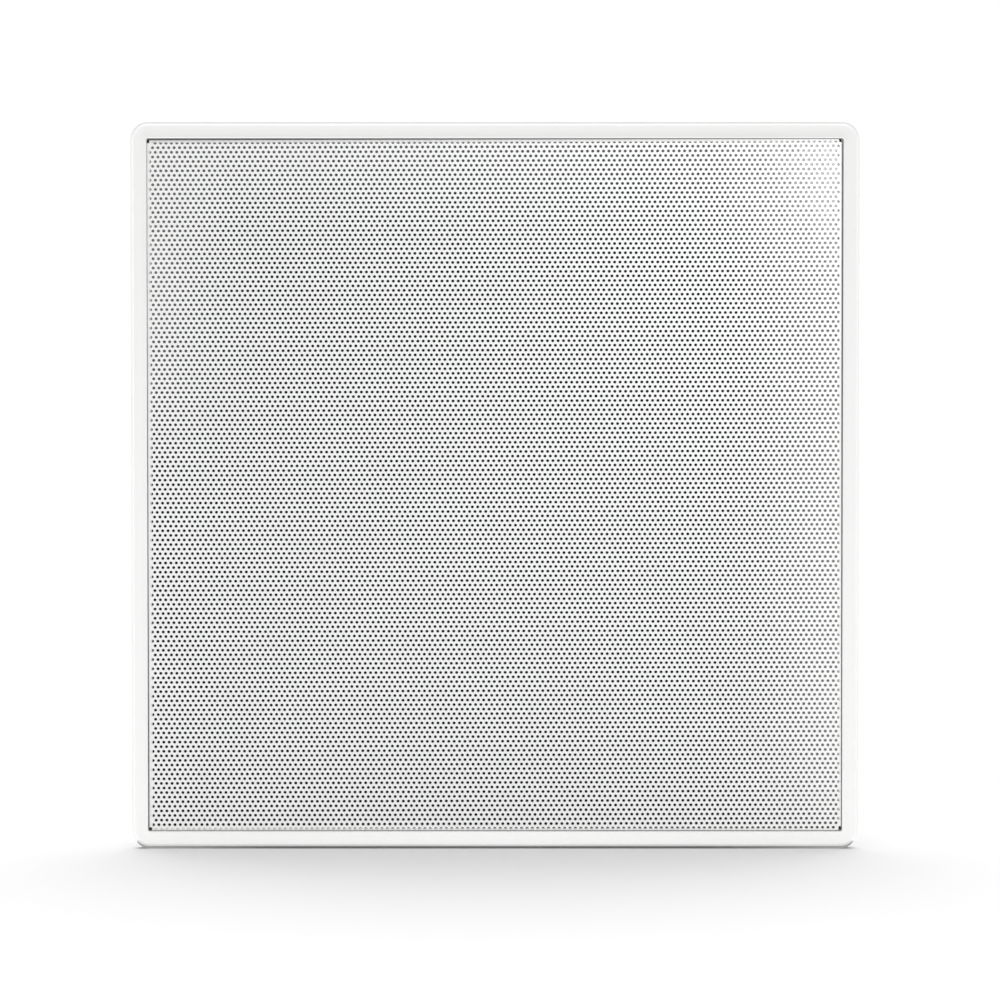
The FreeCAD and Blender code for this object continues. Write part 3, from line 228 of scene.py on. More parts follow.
WHITE = 0.895
M = {
    "white_abs": material("white_abs", (WHITE, WHITE, WHITE * 0.992), 0.42, vary=0.012, vscale=35.0, bump=0.22, bscale=2600.0, bdepth=0.00003),
    "white_powder_coat": material("white_powder_coat", (0.852, 0.852, 0.848), 0.5, vary=0.012, vscale=40.0, bump=0.18, bscale=2200.0, bdepth=0.00003),
    "black_cloth": material("black_cloth", (0.010, 0.010, 0.011), 0.95, pattern=weave(0.00062, (0.004, 0.004, 0.0045), (0.017, 0.017, 0.018)), bump=0.6, bdepth=0.0001, Sheen_Weight=0.15),
    "foam": material("foam", (0.040, 0.040, 0.043), 0.95, pattern=specks((0.012, 0.012, 0.013), 1500.0, 0.08, 0.5), bump=0.7, bdepth=0.00025, rvary=0.0),
    "nickel": material("nickel", (0.66, 0.64, 0.60), 0.22, metal=1.0, vary=0.03, bump=0.05, bscale=900.0, pattern=turned(0.0004, 0.2)),
    "black_abs": material("black_abs", (0.022, 0.022, 0.024), 0.5, vary=0.12, vscale=45.0, bump=0.4, bscale=2300.0, bdepth=0.00005),
    "black_screws": material("black_screws", (0.030, 0.030, 0.032), 0.34, metal=0.6, vary=0.15, vscale=300.0, bump=0.12, bscale=2400.0),
    "black_steel": material("black_steel", (0.026, 0.026, 0.028), 0.38, vary=0.1, vscale=55.0, bump=0.25, bscale=1300.0, bdepth=0.00006, Coat_Weight=0.15, Coat_Roughness=0.25),
    "rubber": material("rubber", (0.020, 0.020, 0.021), 0.62, vary=0.14, vscale=60.0, bump=0.25, bscale=2600.0, bdepth=0.00004),
    "cone": material("cone", (0.045, 0.045, 0.049), 0.36, vary=0.08, vscale=60.0, pattern=turned(0.0011, 0.35), bump=0.18, bscale=1600.0, bdepth=0.00005),
    "spider_cloth": material("spider_cloth", (0.40, 0.25, 0.10), 0.8, pattern=weave(0.0007, (0.20, 0.11, 0.04), (0.50, 0.33, 0.14)), bump=0.6, bdepth=0.0001),
    "coil_former": material("coil_former", (0.50, 0.27, 0.07), 0.25, vary=0.08, vscale=200.0, bump=0.05, Coat_Weight=0.3),
    "copper": material("copper", (0.60, 0.22, 0.085), 0.28, metal=0.85, vary=0.12, vscale=400.0, bump=0.08, bscale=2500.0, Coat_Weight=0.5, Coat_Roughness=0.15),
    "zinc_steel": material("zinc_steel", (0.58, 0.58, 0.565), 0.36, metal=1.0, vary=0.07, vscale=160.0, bump=0.12, bscale=1500.0, pattern=turned(0.0005, 0.25)),
    "ferrite": material("ferrite", (0.050, 0.050, 0.053), 0.62, vary=0.18, vscale=120.0, bump=0.45, bscale=1100.0, bdepth=0.0001, pattern=specks((0.022, 0.022, 0.024), 700.0, 0.02, 0.16)),
    "neodymium": material("neodymium", (0.60, 0.60, 0.58), 0.2, metal=1.0, vary=0.04, bump=0.05),
    "fibre_board": material("fibre_board", (0.20, 0.105, 0.05), 0.6, pattern=grain(120.0, 900.0, (0.12, 0.06, 0.028)), bump=0.3),
    "brass": material("brass", (0.72, 0.53, 0.20), 0.3, metal=1.0, vary=0.09, vscale=250.0, bump=0.1, bscale=1800.0, pattern=turned(0.0006, 0.2)),
    "tinsel": material("tinsel", (0.62, 0.56, 0.46), 0.4, metal=0.9, vary=0.25, vscale=2200.0, bump=0.7, bscale=3500.0, bdepth=0.0001),
    "aluminium": material("aluminium", (0.68, 0.68, 0.69), 0.3, metal=1.0, vary=0.04, vscale=120.0, bump=0.12, pattern=turned(0.0004, 0.35)),
    "nylon": material("nylon", (0.030, 0.030, 0.032), 0.46, vary=0.12, vscale=70.0, bump=0.25, bscale=2000.0),
    "silk": material("silk", (0.028, 0.028, 0.031), 0.5, pattern=weave(0.00045, (0.015, 0.015, 0.017), (0.042, 0.042, 0.046)), bump=0.4, bdepth=0.00004, Sheen_Weight=0.3, Coat_Weight=0.2),
    "film_capacitor": material("film_capacitor", (0.66, 0.47, 0.055), 0.3, vary=0.06, vscale=120.0, bump=0.12, bscale=900.0, Coat_Weight=0.25),
    "epoxy": material("epoxy", (0.42, 0.29, 0.04), 0.42, vary=0.12, vscale=260.0, bump=0.3, bscale=900.0, bdepth=0.0001),
    "cement": material("cement", (0.70, 0.685, 0.62), 0.85, vary=0.05, vscale=160.0, bump=0.6, bscale=1300.0, bdepth=0.00012, pattern=specks((0.45, 0.43, 0.37), 1100.0, 0.02, 0.14)),
    "red_plastic": material("red_plastic", (0.47, 0.018, 0.018), 0.34, vary=0.08, vscale=120.0, bump=0.15, bscale=2000.0),
    "black_plastic": material("black_plastic", (0.022, 0.022, 0.024), 0.34, vary=0.12, vscale=120.0, bump=0.15, bscale=2000.0),
    "lead_black": material("lead_black", (0.022, 0.022, 0.023), 0.5, vary=0.15, vscale=200.0, bump=0.2, bscale=1800.0),
    "zinc_screw": material("zinc_screw", (0.62, 0.56, 0.40), 0.3, metal=1.0, vary=0.1, vscale=320.0, bump=0.12, bscale=1600.0),
    "clamp_nylon": material("clamp_nylon", (0.76, 0.755, 0.72), 0.45, vary=0.02, vscale=70.0, bump=0.25, bscale=1700.0, Subsurface_Weight=0.15, Subsurface_Radius=(0.002, 0.002, 0.0018)),
    "solder": material("solder", (0.62, 0.63, 0.64), 0.25, metal=1.0, vary=0.1, vscale=500.0, bump=0.25, bscale=900.0),
}


def board_pattern(t, where, colour, height):
    """Glass weave showing through green solder mask."""
    xyz = t.nodes.new("ShaderNodeSeparateXYZ")
    t.links.new(where, xyz.inputs[0])
    k = 2.0 * math.pi / 0.0011
    a = math_node(t, "SINE", math_node(t, "MULTIPLY", xyz.outputs["X"], k))
    b = math_node(t, "SINE", math_node(t, "MULTIPLY", xyz.outputs["Z"], k))
    w = math_node(t, "ADD", math_node(t, "MULTIPLY", math_node(t, "MULTIPLY", a, b), 0.5), 0.5)
    h = math_node(t, "ADD", math_node(t, "MULTIPLY", w, 0.5), math_node(t, "MULTIPLY", height, 0.5))
    return mix_colours(t, math_node(t, "MULTIPLY", w, 0.35), colour, (0.035, 0.21, 0.09)), h


M["board"] = material("board", (0.020, 0.135, 0.055), 0.3, vary=0.06, vscale=90.0, pattern=board_pattern, bump=0.12, bdepth=0.00003, Coat_Weight=0.3)
M["board_trace"] = material("board_trace", (0.055, 0.24, 0.085), 0.3, vary=0.06, vscale=90.0, pattern=board_pattern, bump=0.12, bdepth=0.00003, Coat_Weight=0.3)

slot_of = {s["node"]: s["material_slot"] for s in frame["record"]["subparts"]}


def dress(obj, m):
    obj.data.materials.clear()
    obj.data.materials.append(m)


for n, o in NODES.items():
    dress(o, M[slot_of[n]])

# ------------------------------------------------------------------ mesh helpers


def raw_mesh(name, verts, blocks, mat, smooth=False, uv=None):
    """A mesh object from an array of points and arrays of faces, one array for each face size."""
    me = bpy.data.meshes.new(name)
    verts = np.asarray(verts, np.float32)
    me.vertices.add(len(verts))
    me.vertices.foreach_set("co", verts.ravel())
    blocks = [np.asarray(b, np.int32) for b in blocks if len(b)]
    loops = np.concatenate([b.ravel() for b in blocks])
    sizes = np.concatenate([np.full(len(b), b.shape[1], np.int32) for b in blocks])
    me.loops.add(len(loops))
    me.loops.foreach_set("vertex_index", loops)
    me.polygons.add(len(sizes))
    me.polygons.foreach_set("loop_start", np.concatenate([[0], np.cumsum(sizes)[:-1]]).astype(np.int32))
    me.polygons.foreach_set("use_smooth", np.full(len(sizes), smooth, bool))
    me.update(calc_edges=True)
    me.validate()
    if uv is not None:
        layer = me.uv_layers.new(name="OFBake")
        layer.data.foreach_set("uv", np.asarray(uv, np.float32)[loops].ravel())
    me.materials.append(mat)
    o = bpy.data.objects.new(name, me)
    bpy.context.scene.collection.objects.link(o)
    return o


def piece(o, body, *nodes, slot=None):
    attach(o, body)
    if nodes:
        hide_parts(*nodes)
    return o


def spline(points, n):
    """n points on a smooth line through the given ones."""
    p = np.asarray(points, float)
    q = np.vstack([2 * p[0] - p[1], p, 2 * p[-1] - p[-2]])
    out = []
    for t in np.linspace(0, len(p) - 1, n):
        i = min(int(t), len(p) - 2)
        f = t - i
        a, b, c, d = q[i], q[i + 1], q[i + 2], q[i + 3]
        out.append(0.5 * (2 * b + (c - a) * f + (2 * a - 5 * b + 4 * c - d) * f * f + (3 * b - a - 3 * c + d) * f ** 3))
    return np.array(out)


def rounded(points, r, steps=4):
    """A closed outline with each corner rounded."""
    p = np.asarray(points, float)
    n = len(p)
    out = []
    for i in range(n):
        a, b, c = p[i - 1], p[i], p[(i + 1) % n]
        u, v = (a - b), (c - b)
        lu, lv = np.linalg.norm(u), np.linalg.norm(v)
        k = min(r, 0.45 * lu, 0.45 * lv)
        s, e = b + u / lu * k, b + v / lv * k
        for t in np.linspace(0, 1, steps + 1):
            out.append((1 - t) ** 2 * s + 2 * t * (1 - t) * b + t * t * e)
    return np.array(out)


def lathe(name, profile, mat, seg=96, centre=(0.0, 0.0), closed=True, sharp=40.0, along="Y", base=0.0, at=None):
    """A profile of radius and height in millimetres turned about an axis along Y, or along X through (centre y, centre z)."""
    prof = np.asarray(profile, float)
    n = len(prof)
    ang = np.linspace(0, 2 * np.pi, seg, endpoint=False)
    r, h = prof[:, 0][:, None], prof[:, 1][:, None]
    c, s = np.cos(ang)[None, :], np.sin(ang)[None, :]
    if along == "Y":
        v = np.stack([centre[0] + r * c, np.broadcast_to(base + h, (n, seg)), centre[1] + r * s], -1)
    else:
        v = np.stack([np.broadcast_to(base + h, (n, seg)), centre[0] + r * c, centre[1] + r * s], -1)
    v = v.reshape(-1, 3) * MM
    faces = []
    rows = n if closed else n - 1
    for i in range(rows):
        k = (i + 1) % n
        a = np.arange(seg)
        b = (a + 1) % seg
        faces.append(np.stack([i * seg + a, k * seg + a, k * seg + b, i * seg + b], -1))
    o = raw_mesh(name, v, [np.concatenate(faces)], mat, smooth=True)
    finish_mesh(o, sharp)
    return o


def finish_mesh(o, sharp=40.0):
    """Merges doubled points, turns the faces outwards and keeps edges crisp past an angle."""
    bm = bmesh.new()
    bm.from_mesh(o.data)
    bmesh.ops.remove_doubles(bm, verts=bm.verts, dist=1e-7)
    bmesh.ops.dissolve_degenerate(bm, edges=bm.edges, dist=1e-8)
    bmesh.ops.recalc_face_normals(bm, faces=bm.faces)
    for f in bm.faces:
        f.smooth = True
    bm.to_mesh(o.data)
    bm.free()
    o.data.set_sharp_from_angle(angle=math.radians(sharp))
    o.data.update()


def tube(name, path, radius, mat, seg=14, caps=True, body=None):
    """A round tube along points in millimetres; radius is a number or one for each point."""
    p = np.asarray(path, float)
    n = len(p)
    rad = np.broadcast_to(np.asarray(radius, float), (n,))
    tan = np.gradient(p, axis=0)
    tan /= np.linalg.norm(tan, axis=1)[:, None]
    side = np.cross(tan[0], [0.0, 0.0, 1.0])
    if np.linalg.norm(side) < 1e-3:
        side = np.cross(tan[0], [1.0, 0.0, 0.0])
    rings = []
    for i in range(n):
        side = side - tan[i] * (side @ tan[i])
        side /= np.linalg.norm(side)
        up = np.cross(tan[i], side)
        a = np.linspace(0, 2 * np.pi, seg, endpoint=False)
        rings.append(p[i] + rad[i] * (np.cos(a)[:, None] * side + np.sin(a)[:, None] * up))
    v = np.concatenate(rings)
    faces = []
    for i in range(n - 1):
        a = np.arange(seg)
        b = (a + 1) % seg
        faces.append(np.stack([i * seg + a, i * seg + b, (i + 1) * seg + b, (i + 1) * seg + a], -1))
    blocks = [np.concatenate(faces)]
    if caps:
        blocks.append(np.array([np.arange(seg)[::-1], (n - 1) * seg + np.arange(seg)]))
    o = raw_mesh(name, v * MM, blocks, mat, smooth=True)
    finish_mesh(o, 50.0)
    return o


def join(name, objs):
    """One piece from several, each keeping its material."""
    mats, verts, blocks, idx, smooth, base = [], [], {}, {}, {}, 0
    me = bpy.data.meshes.new(name)
    bm = bmesh.new()
    for o in objs:
        start = len(bm.faces)
        bm.from_mesh(o.data)
        bm.faces.ensure_lookup_table()
        mine = [m for m in o.data.materials]
        for m in mine:
            if m not in mats:
                mats.append(m)
        for f in bm.faces[start:]:
            f.material_index = mats.index(mine[f.material_index])
    bm.to_mesh(me)
    bm.free()
    for m in mats:
        me.materials.append(m)
    for o in objs:
        old = o.data
        bpy.data.objects.remove(o)
        bpy.data.meshes.remove(old)
    o = bpy.data.objects.new(name, me)
    bpy.context.scene.collection.objects.link(o)
    return o


def prism(name, outline, lo, hi, mat, axis="Y", bevel=0.0, at=(0.0, 0.0, 0.0), sharp=35.0):
    """A closed outline carried straight between two heights, with softened edges."""
    p = np.asarray(outline, float)
    n = len(p)
    mid = p.mean(0)
    layers = [(lo, bevel), (lo + bevel * 0.3, bevel * 0.3), (lo + bevel, 0.0), (hi - bevel, 0.0), (hi - bevel * 0.3, bevel * 0.3), (hi, bevel)] if bevel else [(lo, 0.0), (hi, 0.0)]
    nxt, prv = np.roll(p, -1, 0) - p, p - np.roll(p, 1, 0)
    nrm = np.stack([(nxt + prv)[:, 1], -(nxt + prv)[:, 0]], -1)
    nrm /= np.linalg.norm(nrm, axis=1)[:, None] + 1e-12
    area = 0.5 * np.sum(p[:, 0] * np.roll(p[:, 1], -1) - p[:, 1] * np.roll(p[:, 0], -1))
    if area < 0:
        nrm = -nrm
    v = []
    for h, inset in layers:
        q = p - nrm * inset
        hh = np.full(n, h)
        v.append({"Y": np.stack([q[:, 0], hh, q[:, 1]], -1), "X": np.stack([hh, q[:, 0], q[:, 1]], -1), "Z": np.stack([q[:, 0], q[:, 1], hh], -1)}[axis])
    v = (np.concatenate(v) + np.asarray(at)) * MM
    faces = []
    for i in range(len(layers) - 1):
        a = np.arange(n)
        b = (a + 1) % n
        faces.append(np.stack([i * n + a, i * n + b, (i + 1) * n + b, (i + 1) * n + a], -1))
    o = raw_mesh(name, v, [np.concatenate(faces), np.array([np.arange(n)[::-1], (len(layers) - 1) * n + np.arange(n)])], mat, smooth=True)
    finish_mesh(o, sharp)
    return o


def rrect(hx, hz, r, steps=8):
    out = []
    for sx, sz, a0 in ((1, -1, -90), (1, 1, 0), (-1, 1, 90), (-1, -1, 180)):
        for a in np.linspace(math.radians(a0), math.radians(a0 + 90), steps + 1):
            out.append((sx * (hx - r) + r * math.cos(a), sz * (hz - r) + r * math.sin(a)))
    return np.array(out)


# ------------------------------------------------------------------ stage, light and camera

floor = raw_mesh("floor", np.array([(-40, -40, 0), (40, -40, 0), (40, 40, 0), (-40, 40, 0)], float), [np.array([[0, 1, 2, 3]])],
                 material("floor", (0.92, 0.92, 0.92), 0.9, vary=0.004, vscale=3.0, bump=0.02, bscale=400.0))
floor.location.z = cad_box[0].z - 0.00068


# painted shadow fade: the dark strip turns paler towards its ends, so the painted contact shadow thins out at the
# rounded corners
def painted_shadow_fade(t, where, colour, height):
    part = t.nodes.new("ShaderNodeSeparateXYZ")
    t.links.new(where, part.inputs["Vector"])
    r = t.nodes.new("ShaderNodeMapRange")
    r.interpolation_type = "SMOOTHSTEP"
    r.inputs["From Min"].default_value, r.inputs["From Max"].default_value = 0.075, 0.133
    t.links.new(math_node(t, "ABSOLUTE", part.outputs["X"]), r.inputs["Value"])
    return mix_colours(t, r.outputs["Result"], colour, (0.42, 0.42, 0.42)), height


# painted shadow: a thin dark strip laid on the table under the rim stands in for the contact shadow, which shows as the
# dark line along the foot of the object
line = np.array([127.0, 128.4, 129.4, 130.3, 131.2, 132.0, 132.6, 133.1])
thick = np.array([0.66, 0.66, 0.64, 0.6, 0.55, 0.48, 0.4, 0.3])
tall = 6.6 - np.sqrt(6.6 ** 2 - np.maximum(line - 128.4, 0.0) ** 2) - 0.01
line, tall, low = (np.concatenate([q[::-1] * m, q]) for q, m in ((line, -1.0), (tall, 1.0), (tall - thick, 1.0)))
strip = np.concatenate([np.stack([line, np.full(len(line), y), z], -1) for y, z in ((-5.8, low), (-5.8, tall), (-1.2, tall), (-1.2, low))]) * MM + np.array([0.0, 0.0, cad_box[0].z])
k, n = np.arange(len(line) - 1), len(line)
contact_shadow_strip = raw_mesh("floor_strip", strip, [np.concatenate([np.stack([r * n + k, r * n + k + 1, (r + 1) % 4 * n + k + 1, (r + 1) % 4 * n + k], -1) for r in range(4)] + [np.array([[0, n, 2 * n, 3 * n], [n - 1, 4 * n - 1, 3 * n - 1, 2 * n - 1]])])],
                      material("floor_strip", (0.16, 0.16, 0.16), 0.9, vary=0.1, vscale=300.0, bump=0.3, bscale=1500.0, pattern=painted_shadow_fade))

scene = bpy.context.scene
scene.view_settings.view_transform = "Standard"
scene.view_settings.look = "None"
world = bpy.data.worlds.new("studio")
world.use_nodes = True
world.node_tree.nodes["Background"].inputs["Color"].default_value = (1.0, 1.0, 1.0, 1.0)
world.node_tree.nodes["Background"].inputs["Strength"].default_value = 0.45
scene.world = world


def lamp(name, azimuth, elevation, spread, strength):
    """A far, soft lamp. Azimuth 0 is straight in front of the object, 90 to its right."""
    d = bpy.data.lights.new(name, "SUN")
    d.angle = math.radians(spread)
    d.energy = strength
    o = bpy.data.objects.new(name, d)
    a, e = math.radians(azimuth), math.radians(elevation)
    o.rotation_euler = Vector((math.sin(a) * math.cos(e), -math.cos(a) * math.cos(e), math.sin(e))).to_track_quat("Z", "Y").to_euler()
    scene.collection.objects.link(o)
    return o


def panel(name, place, aim, size, power):
    d = bpy.data.lights.new(name, "AREA")
    d.shape = "RECTANGLE"
    d.size, d.size_y = size
    d.energy = power
    o = bpy.data.objects.new(name, d)
    o.location = place
    o.rotation_euler = (Vector(aim) - Vector(place)).to_track_quat("-Z", "Y").to_euler()
    scene.collection.objects.link(o)
    return o


# a translucent table: lamps behind and above, and weaker ones that shine up through the table top
floor.visible_shadow = False
lamp("back_high", 180.0, 70.0, 70.0, 2.06)
lamp("back_low", 180.0, 50.0, 60.0, 0.24)
lamp("table_front", 0.0, -9.0, 24.0, 0.38)
lamp("table_left", -80.0, -6.0, 24.0, 0.16)
lamp("table_right", 80.0, -6.0, 24.0, 0.24)
panel("table_edge", (0.0, -0.34, -0.30), (0.0, 0.0, -0.10), (0.9, 0.14), 0.57)

ELEV, AWAY = math.radians(5.2), 4.4
cam = bpy.data.cameras.new("camera")
cam.lens, cam.sensor_width = 427.0, 36.0
cam.shift_x, cam.shift_y = 0.005, -0.01455
cam.clip_start, cam.clip_end = 0.05, 200.0
eye = bpy.data.objects.new("camera", cam)
target = Vector((0.0, -0.0065, 0.0))
eye.location = target + Vector((0.0, -math.cos(ELEV), math.sin(ELEV))) * AWAY
eye.rotation_euler = (target - eye.location).to_track_quat("-Z", "Y").to_euler()
scene.collection.objects.link(eye)
scene.camera = eye

# ------------------------------------------------------------------ perforated grille

FOLD, SHEET, FRONT, REAR = 1.0, 0.8, -6.55, -2.8
FLAT = 128.66 - FOLD
PITCH, ROW, HOLE = 1.9987, 1.7154, 0.59
PHASE_U, PHASE_V = 0.672, 0.647
SLIP = math.tan(math.radians(0.075))
LEAN, PUSH_X, PUSH_Z = math.radians(0.088), -0.12, -0.06
BEND = FOLD * math.pi / 2
STRIP = BEND + (REAR - FRONT - FOLD)


def folded(u, v, t):
    """Points of the flat blank folded into the pan; t goes from 0 on the front face to 1 on the back. Metres."""
    u, v, t = np.broadcast_arrays(np.asarray(u, float), np.asarray(v, float), np.asarray(t, float))
    r = FOLD - SHEET * t
    out = []
    depth = SHEET * t
    # the top and bottom folds run a touch askew of the rows of holes, as in the photograph
    hem = np.where(v > 0, FLAT - 0.10 + 0.08 * u / FLAT, FLAT + 0.185 + 0.195 * u / FLAT)
    for w, edge in ((u, np.full(u.shape, FLAT)), (v, hem)):
        over = np.maximum(np.abs(w) - edge, 0.0)
        phi = np.minimum(over, BEND) / FOLD
        out.append(np.sign(w) * (np.minimum(np.abs(w), edge) + r * np.sin(phi)))
        depth = np.where(over > 0, FOLD - r * np.cos(phi) + np.maximum(over - BEND, 0.0), depth)
    x, z = out
    c, s = math.cos(LEAN), math.sin(LEAN)
    return np.stack([x * c - z * s + PUSH_X, FRONT + depth, x * s + z * c + PUSH_Z], -1) * MM


SIDES_N = 8
rim_angles = np.arange(SIDES_N) * 2 * np.pi / SIDES_N + np.pi / SIDES_N
hole_ring = np.stack([np.cos(rim_angles), np.sin(rim_angles)], -1)
cell_ring = np.array([(0, -1), (1, -1), (1, 1), (0, 1), (-1, 1), (-1, -1)], float) * np.array([PITCH / 2, ROW / 2])


def ring_faces():
    """Triangles between the six points of a cell and the points of its hole, in order of angle."""
    a = np.arctan2(cell_ring[:, 1], cell_ring[:, 0])
    b = np.arctan2(hole_ring[:, 1], hole_ring[:, 0])
    ia, ib = list(np.argsort(a)), list(np.argsort(b))
    na, nb = len(ia), len(ib)
    i = j = 0
    tris = []
    ang = lambda order, arr, k: arr[order[k % len(order)]] + 2 * np.pi * (k // len(order))
    while i < na or j < nb:
        if j >= nb or (i < na and ang(ia, a, i + 1) + ang(ia, a, i) < ang(ib, b, j + 1) + ang(ib, b, j)):
            tris.append((ia[i % na], ia[(i + 1) % na], 6 + ib[j % nb]))
            i += 1
        else:
            tris.append((ia[i % na], 6 + ib[(j + 1) % nb], 6 + ib[j % nb]))
            j += 1
    return np.array(tris)


RING = ring_faces()
WALL = np.array([(6 + k, 6 + (k + 1) % SIDES_N, 6 + SIDES_N + (k + 1) % SIDES_N, 6 + SIDES_N + k) for k in range(SIDES_N)])
rows = []
j0 = int(math.ceil((-FLAT - 0.45 - PHASE_V) / ROW))
j1 = int(math.floor((FLAT + 0.45 - PHASE_V) / ROW))
for j in range(j0, j1 + 1):
    v = PHASE_V + j * ROW
    end_row = abs(v) + ROW / 2 > FLAT - 0.1
    first = PHASE_U + (PITCH / 2 if j % 2 else 0.0)
    us = first + PITCH * np.arange(-80, 81)
    limit = FLAT + 0.2 if not end_row else FLAT - PITCH / 2
    rows.append((v, end_row, us[np.abs(us) <= limit]))

FAR_L = min(us[0] for v, end_row, us in rows if not end_row) - PITCH / 2
FAR_R = max(us[-1] for v, end_row, us in rows if not end_row) + PITCH / 2
NOTCH = FLAT - 0.25
TAPE = FLAT + BEND + 0.15
EDGE_STEPS = [FLAT + BEND * k / 5 for k in range(6)] + [TAPE]


def margin_l(left):
    return [-x for x in EDGE_STEPS[::-1] if -x < min(left, FAR_L) - 1e-6] + [x for x in (FAR_L, FAR_L + PITCH / 2) if x < left - 1e-6] + [left]


def margin_r(right):
    return [right] + [x for x in (FAR_R - PITCH / 2, FAR_R) if x > right + 1e-6] + [x for x in EDGE_STEPS if x > max(right, FAR_R) + 1e-6]


def sheet_piece(name, part, first, last):
    verts, uvs, tris, quads = [], [], [], []
    count = 0

    def quad_strip(u_list, v_list, t=0.0, shift=None):
        """A patch of quads over a grid of blank coordinates."""
        nonlocal count
        uu, vv = np.meshgrid(np.asarray(u_list, float), np.asarray(v_list, float))
        verts.append(folded(uu, vv, t).reshape(-1, 3))
        flat = np.stack([uu, vv], -1).reshape(-1, 2)
        uvs.append(flat if shift is None else np.asarray(shift(flat)))
        a, b = len(v_list), len(u_list)
        i, k = np.meshgrid(np.arange(a - 1), np.arange(b - 1), indexing="ij")
        s = count + i * b + k
        quads.append(np.stack([s, s + 1, s + b + 1, s + b], -1).reshape(-1, 4))
        count += a * b

    for v, end_row, us in part:
        n = len(us)
        c = np.stack([us, np.full(n, v)], -1)
        slip = np.stack([-SLIP * c[:, 1], SLIP * c[:, 0]], -1)
        ring = c[:, None, :] + cell_ring[None]
        hole = (c + slip)[:, None, :] + HOLE * hole_ring[None]
        deep = (c + slip)[:, None, :] + HOLE * 0.6 * hole_ring[None]
        pts = np.concatenate([ring, hole, hole], 1)
        t = np.concatenate([np.zeros(6 + SIDES_N), np.ones(SIDES_N)])[None, :]
        verts.append(folded(pts[..., 0], pts[..., 1], t).reshape(-1, 3))
        uvs.append(np.concatenate([ring, hole, deep], 1).reshape(-1, 2))
        base = count + np.arange(n)[:, None, None] * (6 + 2 * SIDES_N)
        tris.append((base + RING[None]).reshape(-1, 3))
        quads.append((base + WALL[None]).reshape(-1, 4))
        count += n * (6 + 2 * SIDES_N)
        # plain margins left and right of the row
        left, right = us[0] - PITCH / 2, us[-1] + PITCH / 2
        band = (v - ROW / 2, v + ROW / 2)
        if end_row:
            near, far = (band[0], NOTCH) if v > 0 else (-NOTCH, band[1])
            quad_strip(margin_l(left), (near, far))
            quad_strip(margin_r(right), (near, far))
            if abs(band[0 if v < 0 else 1]) > NOTCH:
                rest = (NOTCH, band[1]) if v > 0 else (band[0], -NOTCH)
                quad_strip([-FLAT, left], rest)
                quad_strip([right, FLAT], rest)
        else:
            quad_strip(margin_l(left), band)
            quad_strip(margin_r(right), band)
    # plain strips above the last row and below the first, and the returns' inner faces
    lo_v, hi_v = part[0][0] - ROW / 2, part[-1][0] + ROW / 2
    wide = FLAT - 0.3
    if first:
        quad_strip([-wide, wide], [-x for x in EDGE_STEPS[::-1] if -x < lo_v - 1e-6] + [lo_v])
    if last:
        quad_strip([-wide, wide], [hi_v] + [x for x in EDGE_STEPS if x > hi_v + 1e-6])
    inner = [FLAT - 0.05] + EDGE_STEPS + [FLAT + STRIP]
    a, b = max(part[0][0] - ROW / 2, -NOTCH), min(part[-1][0] + ROW / 2, NOTCH)
    aside = lambda f: np.stack([f[:, 0] * 0.02 - 133.0 * np.sign(f[:, 0]), f[:, 1]], -1)
    above = lambda f: np.stack([f[:, 0], f[:, 1] * 0.02 + 133.0 * np.sign(f[:, 1])], -1)
    for s in (-1, 1):
        quad_strip([s * x for x in ([FLAT - 0.35] if s < 0 else []) + inner], [a, b], 1.0, aside)
        # the cut edge at the rear of the side returns
        e = FLAT + STRIP
        v0 = folded([s * e] * 4, [a, b, b, a], [0.0, 0.0, 1.0, 1.0])
        verts.append(v0)
        uvs.append(np.array([(s * 133.6, a), (s * 133.6, b), (s * 133.9, b), (s * 133.9, a)]))
        quads.append(np.array([[count, count + 1, count + 2, count + 3]]))
        count += 4
    for s, wanted in ((-1, first), (1, last)):
        if wanted:
            quad_strip([-wide, wide], [s * x for x in inner if s > 0 or x > FLAT + 0.4], 1.0, above)
            e = FLAT + STRIP
            verts.append(folded([-wide, wide, wide, -wide], [s * e] * 4, [0.0, 0.0, 1.0, 1.0]))
            uvs.append(np.array([(-wide, s * 133.6), (wide, s * 133.6), (wide, s * 133.9), (-wide, s * 133.9)]))
            quads.append(np.array([[count, count + 1, count + 2, count + 3]]))
            count += 4
    # the cut ends of the returns at the corner notches
    def cut_end(us, vs):
        nonlocal count
        n = len(us)
        front, back = folded(us, vs, 0.0), folded(us, vs, 1.0)
        verts.append(np.concatenate([front, back]))
        flat = np.stack([us, vs], -1)
        uvs.append(np.concatenate([flat, flat * 0.998]))
        k = np.arange(n - 1)
        quads.append(count + np.stack([k, k + 1, n + k + 1, n + k], -1))
        count += 2 * n

    ends = np.array(EDGE_STEPS + [FLAT + STRIP])
    for s in (-1, 1):
        if first:
            cut_end(s * ends, np.full(len(ends), a))
            cut_end(np.full(len(ends), s * wide), -ends)
        if last:
            cut_end(s * ends, np.full(len(ends), b))
            cut_end(np.full(len(ends), s * wide), ends)
    uv = (np.concatenate(uvs) + 134.5) / 269.0
    o = raw_mesh(name, np.concatenate(verts), [np.concatenate(tris), np.concatenate(quads)], M["white_powder_coat"], uv=uv)
    return piece(o, "grille", "grille", slot="white_powder_coat")


PARTS = 4
cuts = [round(len(rows) * k / PARTS) for k in range(PARTS + 1)]
for k in range(PARTS):
    sheet_piece("grille_sheet_%d" % (k + 1), rows[cuts[k]:cuts[k + 1]], k == 0, k == PARTS - 1)

